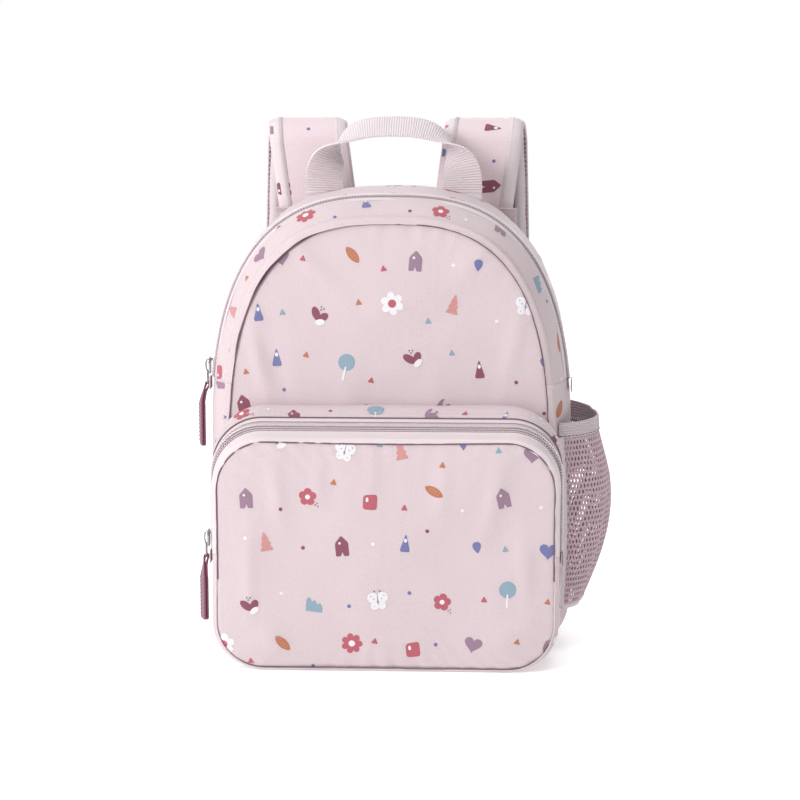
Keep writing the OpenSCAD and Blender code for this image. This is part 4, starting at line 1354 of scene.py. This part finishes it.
handle_path = resample(np.array([handle_line(a) for a in np.linspace(0.0, math.pi, 90)]), 110)
bend = np.linspace(0, math.pi, 110)
turns = np.radians(90 - 90 * np.sign(np.cos(bend)) * np.abs(np.cos(bend)) ** 4)
handle_across = np.c_[np.cos(turns), np.sin(turns) * math.cos(BANK), np.sin(turns) * math.sin(BANK)]
handle_path = np.r_[[handle_path[0] + (1.5, 0.6, -4.0)], handle_path, [handle_path[-1] + (-1.5, 0.6, -4.0)]]
handle_across = np.r_[[handle_across[0]], handle_across, [handle_across[-1]]]
settle(band("carry_handle_webbing", handle_path, handle_across, 25, 1.9, WEB_MAT),
       ("bag", "carry_handle", (0, HANDLE_Y, HANDLE_LOW), (0, HANDLE_Y, HANDLE_LOW + 9)), "webbing", "carry_handle")

STRAP_W, STRAP_Y = 52, BACK + 8.5
FOLD_R, FOLD_AT = 13, 326  # the strap turns over at this height, round this radius


def strap_line():
    """Middle line of the right shoulder strap, up from under the yoke, over and down: points and outward normals."""
    rise = [(51 + 7 * t, STRAP_Y, 273 + 53 * t) for t in np.linspace(0, 1, 22)]
    turn = np.radians(np.linspace(90, -90, 26))[1:-1]
    over = [(58 + (90 - math.degrees(a)) / 45, STRAP_Y + FOLD_R * (1 - math.sin(a)), FOLD_AT + FOLD_R * math.cos(a))
            for a in turn]
    drop = [(62 + 5 * t, STRAP_Y + 2 * FOLD_R - 7 * t, FOLD_AT - 194 * t) for t in np.linspace(0, 1, 60)]
    path = resample(np.array(rise + over + drop), 150)
    run = np.gradient(path, axis=0)
    return path, unit(np.stack([np.zeros(len(run)), -run[:, 2], run[:, 1]], 1))


strap_path, strap_out = strap_line()
strap_walk = lengths(strap_path)


def strap_grid(profile, side):
    """Grid over a strap. profile(s) gives its places across and its distances off the middle line, in mm."""
    rows = [[p + (w, 0, 0) + n * h for w, h in profile(s)] for p, n, s in zip(strap_path, strap_out, strap_walk)]
    return np.array(rows) * (side, 1, 1)


def edge_swell(w):
    return math.sin(min(1, (STRAP_W / 2 - abs(w)) / 9) * math.pi / 2) ** 0.8


def cover_height(w, s):
    return 1.2 + 2.4 * edge_swell(w) + 0.35 * wobble(w, s, 0, 24, 4)


def foam_height(w, s):
    return -1.0 - 2.7 * edge_swell(w) - 0.25 * wobble(w, s, 3, 20, 8)


def across_strap(height):
    return lambda s: [(w, height(w, s)) for w in np.linspace(-STRAP_W / 2, STRAP_W / 2, 29)]


def wrap_profile(hand):
    """The binding that wraps a strap's edge, from its under side round to its upper side."""
    def profile(s):
        places = []
        for a in math.pi * (np.linspace(0, 1, 15) - 0.5):
            w, up = hand * (STRAP_W / 2 - 8.5 + 9.2 * math.cos(a) ** 0.55), math.sin(a)
            inside = min(max(w, 0.1 - STRAP_W / 2), STRAP_W / 2 - 0.1)
            places.append((w, up + (cover_height(inside, s) - 0.55) * max(up, 0)
                           + (foam_height(inside, s) + 0.55) * max(-up, 0)))
        return places
    return profile


def strap_outward(p):
    return Vector((0, p.y - (STRAP_Y + FOLD_R), max(0, p.z - FOLD_AT) * 2))


def strap_pad(word, side):
    """Cover, spacer mesh and the two bindings of a shoulder strap."""
    strap, middle = f"strap_{word}", (side * 60, STRAP_Y + FOLD_R, 240)
    cover = sheet_mesh(f"strap_cover_{word}", strap_grid(across_strap(cover_height), side), PAINTED_LIGHT_STRAP_CLOTH, 0.8, middle)
    settle(cover, strap, "printed_fabric", f"strap_cover_{word}")
    print_on(f"strap_print_{word}", cover, strap_outward, 71 + side, strap)
    under = sheet_mesh(f"strap_mesh_{word}", strap_grid(across_strap(foam_height), side), SPACER_MAT, 0.0, middle)
    under.data.flip_normals()
    thicken(under, 0.8)
    settle(under, strap, "spacer_mesh", f"strap_mesh_{word}")
    for k, hand in ((0, -1), (1, 1)):
        grid = strap_grid(wrap_profile(hand), side)
        wrap = sheet_mesh(f"strap_binding_{word}_{k}", grid, BIND_MAT)
        centre = (strap_path + (hand * (STRAP_W / 2 - 8), 0, 0)) * (side, 1, 1) * MM
        columns = grid.shape[1] - 1
        if sum(f.area * f.normal.dot(f.center - Vector(centre[f.index // columns])) for f in wrap.data.polygons) < 0:
            wrap.data.flip_normals()
        thicken(wrap, 0.7)
        settle(wrap, strap, "binding", *((f"strap_binding_{word}",) if k == 0 else ()))
        line = grid[:, 13] * 0.5 + grid[:, 14] * 0.5
        settle(stitches(f"strap_stitches_{word}_{k}", line, strap_out, THREAD, 1.9, 2.8, 0.24, -0.1), strap, "binding")


def strap_end(word, side):
    """The webbing, ladder lock and anchor tab below a shoulder strap."""
    low, high = corners_of(f"ladder_lock_{word}")
    mid, (wide, _, tall) = (low + high) / 2, (high - low) / 2
    foot, head = np.array([side * 84, 58, 16.2]), mid + (0, -2.9, 1.5)
    t = np.linspace(0, 1, 60)[:, None]
    line = foot + (head - foot) * t + np.array([0, 1.4, 0]) * np.sin(math.pi * t)
    settle(band(f"strap_webbing_{word}", line, (1, 0, 0), 20, 1.5, LOWER_WEB_MAT), f"web_{word}", "webbing",
           f"strap_web_{word}")
    a = np.linspace(0, 2 * math.pi, 64, endpoint=False)
    rim = np.c_[mid[0] + (wide - 2.2) * np.sign(np.cos(a)) * np.abs(np.cos(a)) ** 0.35, np.full(64, mid[1]),
                mid[2] + (tall - 2.2) * np.sign(np.sin(a)) * np.abs(np.sin(a)) ** 0.35]
    bars = [tube(f"lock_rim_{word}", rim, 2.0, PLASTIC, 12, closed=True)]
    for z in (-3.4, 3.2):
        bar = mid + np.array([(3 - wide, 0, z), (0, 0.4, z), (wide - 3, 0, z)])
        bars.append(tube(f"lock_bar_{word}_{z}", resample(bar, 12), 1.45, PLASTIC, 10))
    settle(join(f"ladder_lock_{word}_moulding", bars), f"strap_{word}", "buckle", f"ladder_lock_{word}")
    keeper = resample([strap_path[-6] * (side, 1, 1) + (0, 0, 4), strap_path[-1] * (side, 1, 1) + (0, -0.4, 0),
                       mid + (0, -1.9, 6.0), mid + (0, 1.0, 3.0)], 24)
    settle(band(f"strap_keeper_{word}", keeper, (1, 0, 0), 20, 1.4, LOWER_WEB_MAT), f"strap_{word}", "webbing")
    low, high = corners_of(f"anchor_tab_{word}")
    shape = soft_polygon([(-12, -6), (12, -6), (12, -1.5), (9.5, 6), (-9.5, 6), (-12, -1.5)], 0.12, 4)
    place = ((low[0] + high[0]) / 2, BACK + 6.2, (low[2] + high[2]) / 2)
    tab = slab(f"anchor_tab_{word}", shape, place, (-1, 0, 0), (0, 0, 1), 3.0, FABRIC, 1.0)
    settle(tab, "bag", "printed_fabric", f"anchor_tab_{word}")


for side, word in ((-1, "left"), (1, "right")):
    strap_pad(word, side)
    strap_end(word, side)

# ---------------------------------------------------------------- back of the bag


def inflate(obj, pressure=4.0, cap=2.2, voxel=3.4):
    """Swells a padded piece by cloth simulation, then smooths it with one subdivision."""
    remesh = obj.modifiers.new("remesh", "REMESH")
    remesh.mode, remesh.voxel_size, remesh.use_smooth_shade = "VOXEL", voxel * MM, True
    apply_modifiers(obj)
    rest = [v.co.copy() for v in obj.data.vertices]
    cloth = obj.modifiers.new("cloth", "CLOTH")
    cloth.settings.use_pressure, cloth.settings.uniform_pressure_force = True, pressure
    cloth.settings.quality, cloth.settings.mass = 6, 0.3
    cloth.settings.effector_weights.gravity = 0
    cloth.point_cache.frame_start, cloth.point_cache.frame_end = 1, 20
    scene = bpy.context.scene
    for step in range(1, 21):
        scene.frame_set(step)
    apply_modifiers(obj)
    for vertex, start in zip(obj.data.vertices, rest):
        shift = vertex.co - start
        if shift.length > cap * MM:
            vertex.co = start + shift.normalized() * cap * MM
    scene.frame_set(1)
    obj.modifiers.new("smooth", "SUBSURF").levels = 1
    apply_modifiers(obj)
    obj.data.shade_smooth()
    return obj


def back_pad(word, side):
    upper = arch_points(HALF_W - 19, TOP - 26, 180)
    upper = upper[(upper[:, 0] > 11) & (upper[:, 1] < 259)][::-1][::6]
    corner = [(HALF_W - 31 + 15 * math.sin(a), 39 - 15 * math.cos(a)) for a in np.linspace(0.2, 1.5, 8)]
    outline = resample(np.r_[[(11, 24), (HALF_W - 46, 24)], corner, upper, [(11, 259), (11, 24)]], 140)[:-1] * (side, 1)
    away = outline - outline.mean(0)
    points = []
    for y, inset_by in ((0.4, 0), (2.5, 0), (4.6, 1.2), (5.8, 3.5)):
        ring = outline.mean(0) + away * (1 - inset_by / np.linalg.norm(away, axis=1)[:, None])
        points.append(with_depth(ring, BACK + y))
    points = np.concatenate(points)
    pad = new_mesh(f"back_pad_{word}", points, ring_faces(4, len(outline)), PAD_MAT)
    inflate(face_away(pad, points.mean(0)))
    settle(pad, "bag", "spacer_mesh", *(("back_pads",) if side < 0 else ()))
    settle(tube(f"back_pad_piping_{word}", with_depth(outline, BACK + 1.6), 1.1, BIND_MAT, 8, closed=True), "bag",
           "binding")


back_pad("left", -1)
back_pad("right", 1)

YOKE_HALF_W, YOKE_LOW, YOKE_TALL = 82, 262.5, 20.8


def yoke_point(x, s):
    swell = 4.0 * math.sin(math.pi * s) ** 0.35
    return x, BACK + 0.3 + swell + 0.5 * wobble(x, 0, s * 20, 22, 6), YOKE_LOW + YOKE_TALL * s


yoke_grid = np.array([[yoke_point(x, s) for s in np.linspace(0, 1, 15)]
                      for x in np.linspace(-YOKE_HALF_W, YOKE_HALF_W, 90)])
settle(sheet_mesh("strap_yoke_cloth", yoke_grid, FABRIC, 0.9, (0, 0, 270)), "bag", "printed_fabric", "strap_yoke")
for k in (2, 12):
    settle(stitches(f"yoke_stitches_{k}", yoke_grid[:, k], np.tile((0.0, 1, 0), (90, 1)), THREAD, 2.3, 3.3, 0.26),
           "bag", "webbing")
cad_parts["back_foam"].data.materials.clear()
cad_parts["back_foam"].data.materials.append(PAD_MAT.mat)

# ---------------------------------------------------------------- camera, light, floor


def look_at(obj, target):
    obj.rotation_euler = (Vector(target) - obj.location).to_track_quat("-Z", "Y").to_euler()


AZIMUTH, ELEVATION, DISTANCE, TARGET = math.radians(2.5), math.radians(9), 1.6, Vector((0.0053, 0, 0.160))
VIEW_WIDTH = 0.528
camera = bpy.data.objects.new("camera", bpy.data.cameras.new("camera"))
bpy.context.scene.collection.objects.link(camera)
camera.data.sensor_width, camera.data.lens = 36, 36 * DISTANCE / VIEW_WIDTH
camera.location = TARGET + DISTANCE * Vector((math.sin(AZIMUTH) * math.cos(ELEVATION),
                                              -math.cos(AZIMUTH) * math.cos(ELEVATION), math.sin(ELEVATION)))
look_at(camera, TARGET)
bpy.context.scene.camera = camera


def area_light(name, location, target, size, power, color=(1, 1, 1)):
    lamp = bpy.data.objects.new(name, bpy.data.lights.new(name, "AREA"))
    lamp.data.size, lamp.data.energy, lamp.data.color = size, power, color
    lamp.location = location
    look_at(lamp, target)
    bpy.context.scene.collection.objects.link(lamp)


area_light("key", (-1.35, -1.35, 1.0), (0, 0, 0.15), 0.7, 27, (1, 0.985, 0.975))
area_light("top", (0.25, -0.45, 1.9), (0, 0, 0.2), 0.8, 9)
area_light("back", (0.4, 1.7, 0.8), (0, 0, 0.2), 1.2, 8)

world = bpy.data.worlds.new("studio")
bpy.context.scene.world = world
world.use_nodes = True
sky = world.node_tree
direction = sky.nodes.new("ShaderNodeSeparateXYZ")
sky.links.new(sky.nodes.new("ShaderNodeTexCoord").outputs["Generated"], direction.inputs[0])


def fade_room(axis, start, end, least):
    """1 where an axis of the direction is at start, falling to least at end."""
    made = sky.nodes.new("ShaderNodeMapRange")
    for socket, value in zip(("From Min", "From Max", "To Min", "To Max"), (start, end, 1.0, least)):
        made.inputs[socket].default_value = value
    sky.links.new(direction.outputs[axis], made.inputs["Value"])
    return made.outputs[0]


def combine(operation, first, second):
    made = sky.nodes.new("ShaderNodeMath")
    made.operation = operation
    sky.links.new(first, made.inputs[0])
    sky.links.new(second, made.inputs[1])
    return made.outputs[0]


# The room is darker in front of the bag and on its right; where the sky itself shows, it is plain white.
room = combine("MULTIPLY", fade_room("Y", 0.1, -0.7, 0.5), fade_room("X", 0.1, 0.9, 0.45))
seen = combine("MAXIMUM", room, sky.nodes.new("ShaderNodeLightPath").outputs["Is Camera Ray"])
sky.links.new(seen, sky.nodes["Background"].inputs["Strength"])
sky.nodes["Background"].inputs["Color"].default_value = (1, 1, 1, 1)
bpy.context.scene.view_settings.view_transform = "Standard"

FLOOR = Material("pale_floor", (0.93, 0.93, 0.93), 0.6, Emission_Color=(1, 1, 1, 1), Emission_Strength=0.3)
FLOOR.bump(FLOOR.noise(40), 0.05, 0.2)
FLOOR_HALF = 3000  # mm
floor_corners = [(x * FLOOR_HALF, y * FLOOR_HALF, 0) for x, y in ((-1, -1), (1, -1), (1, 1), (-1, 1))]
floor = new_mesh("floor", floor_corners, [(0, 1, 2, 3)], FLOOR, smooth=False)
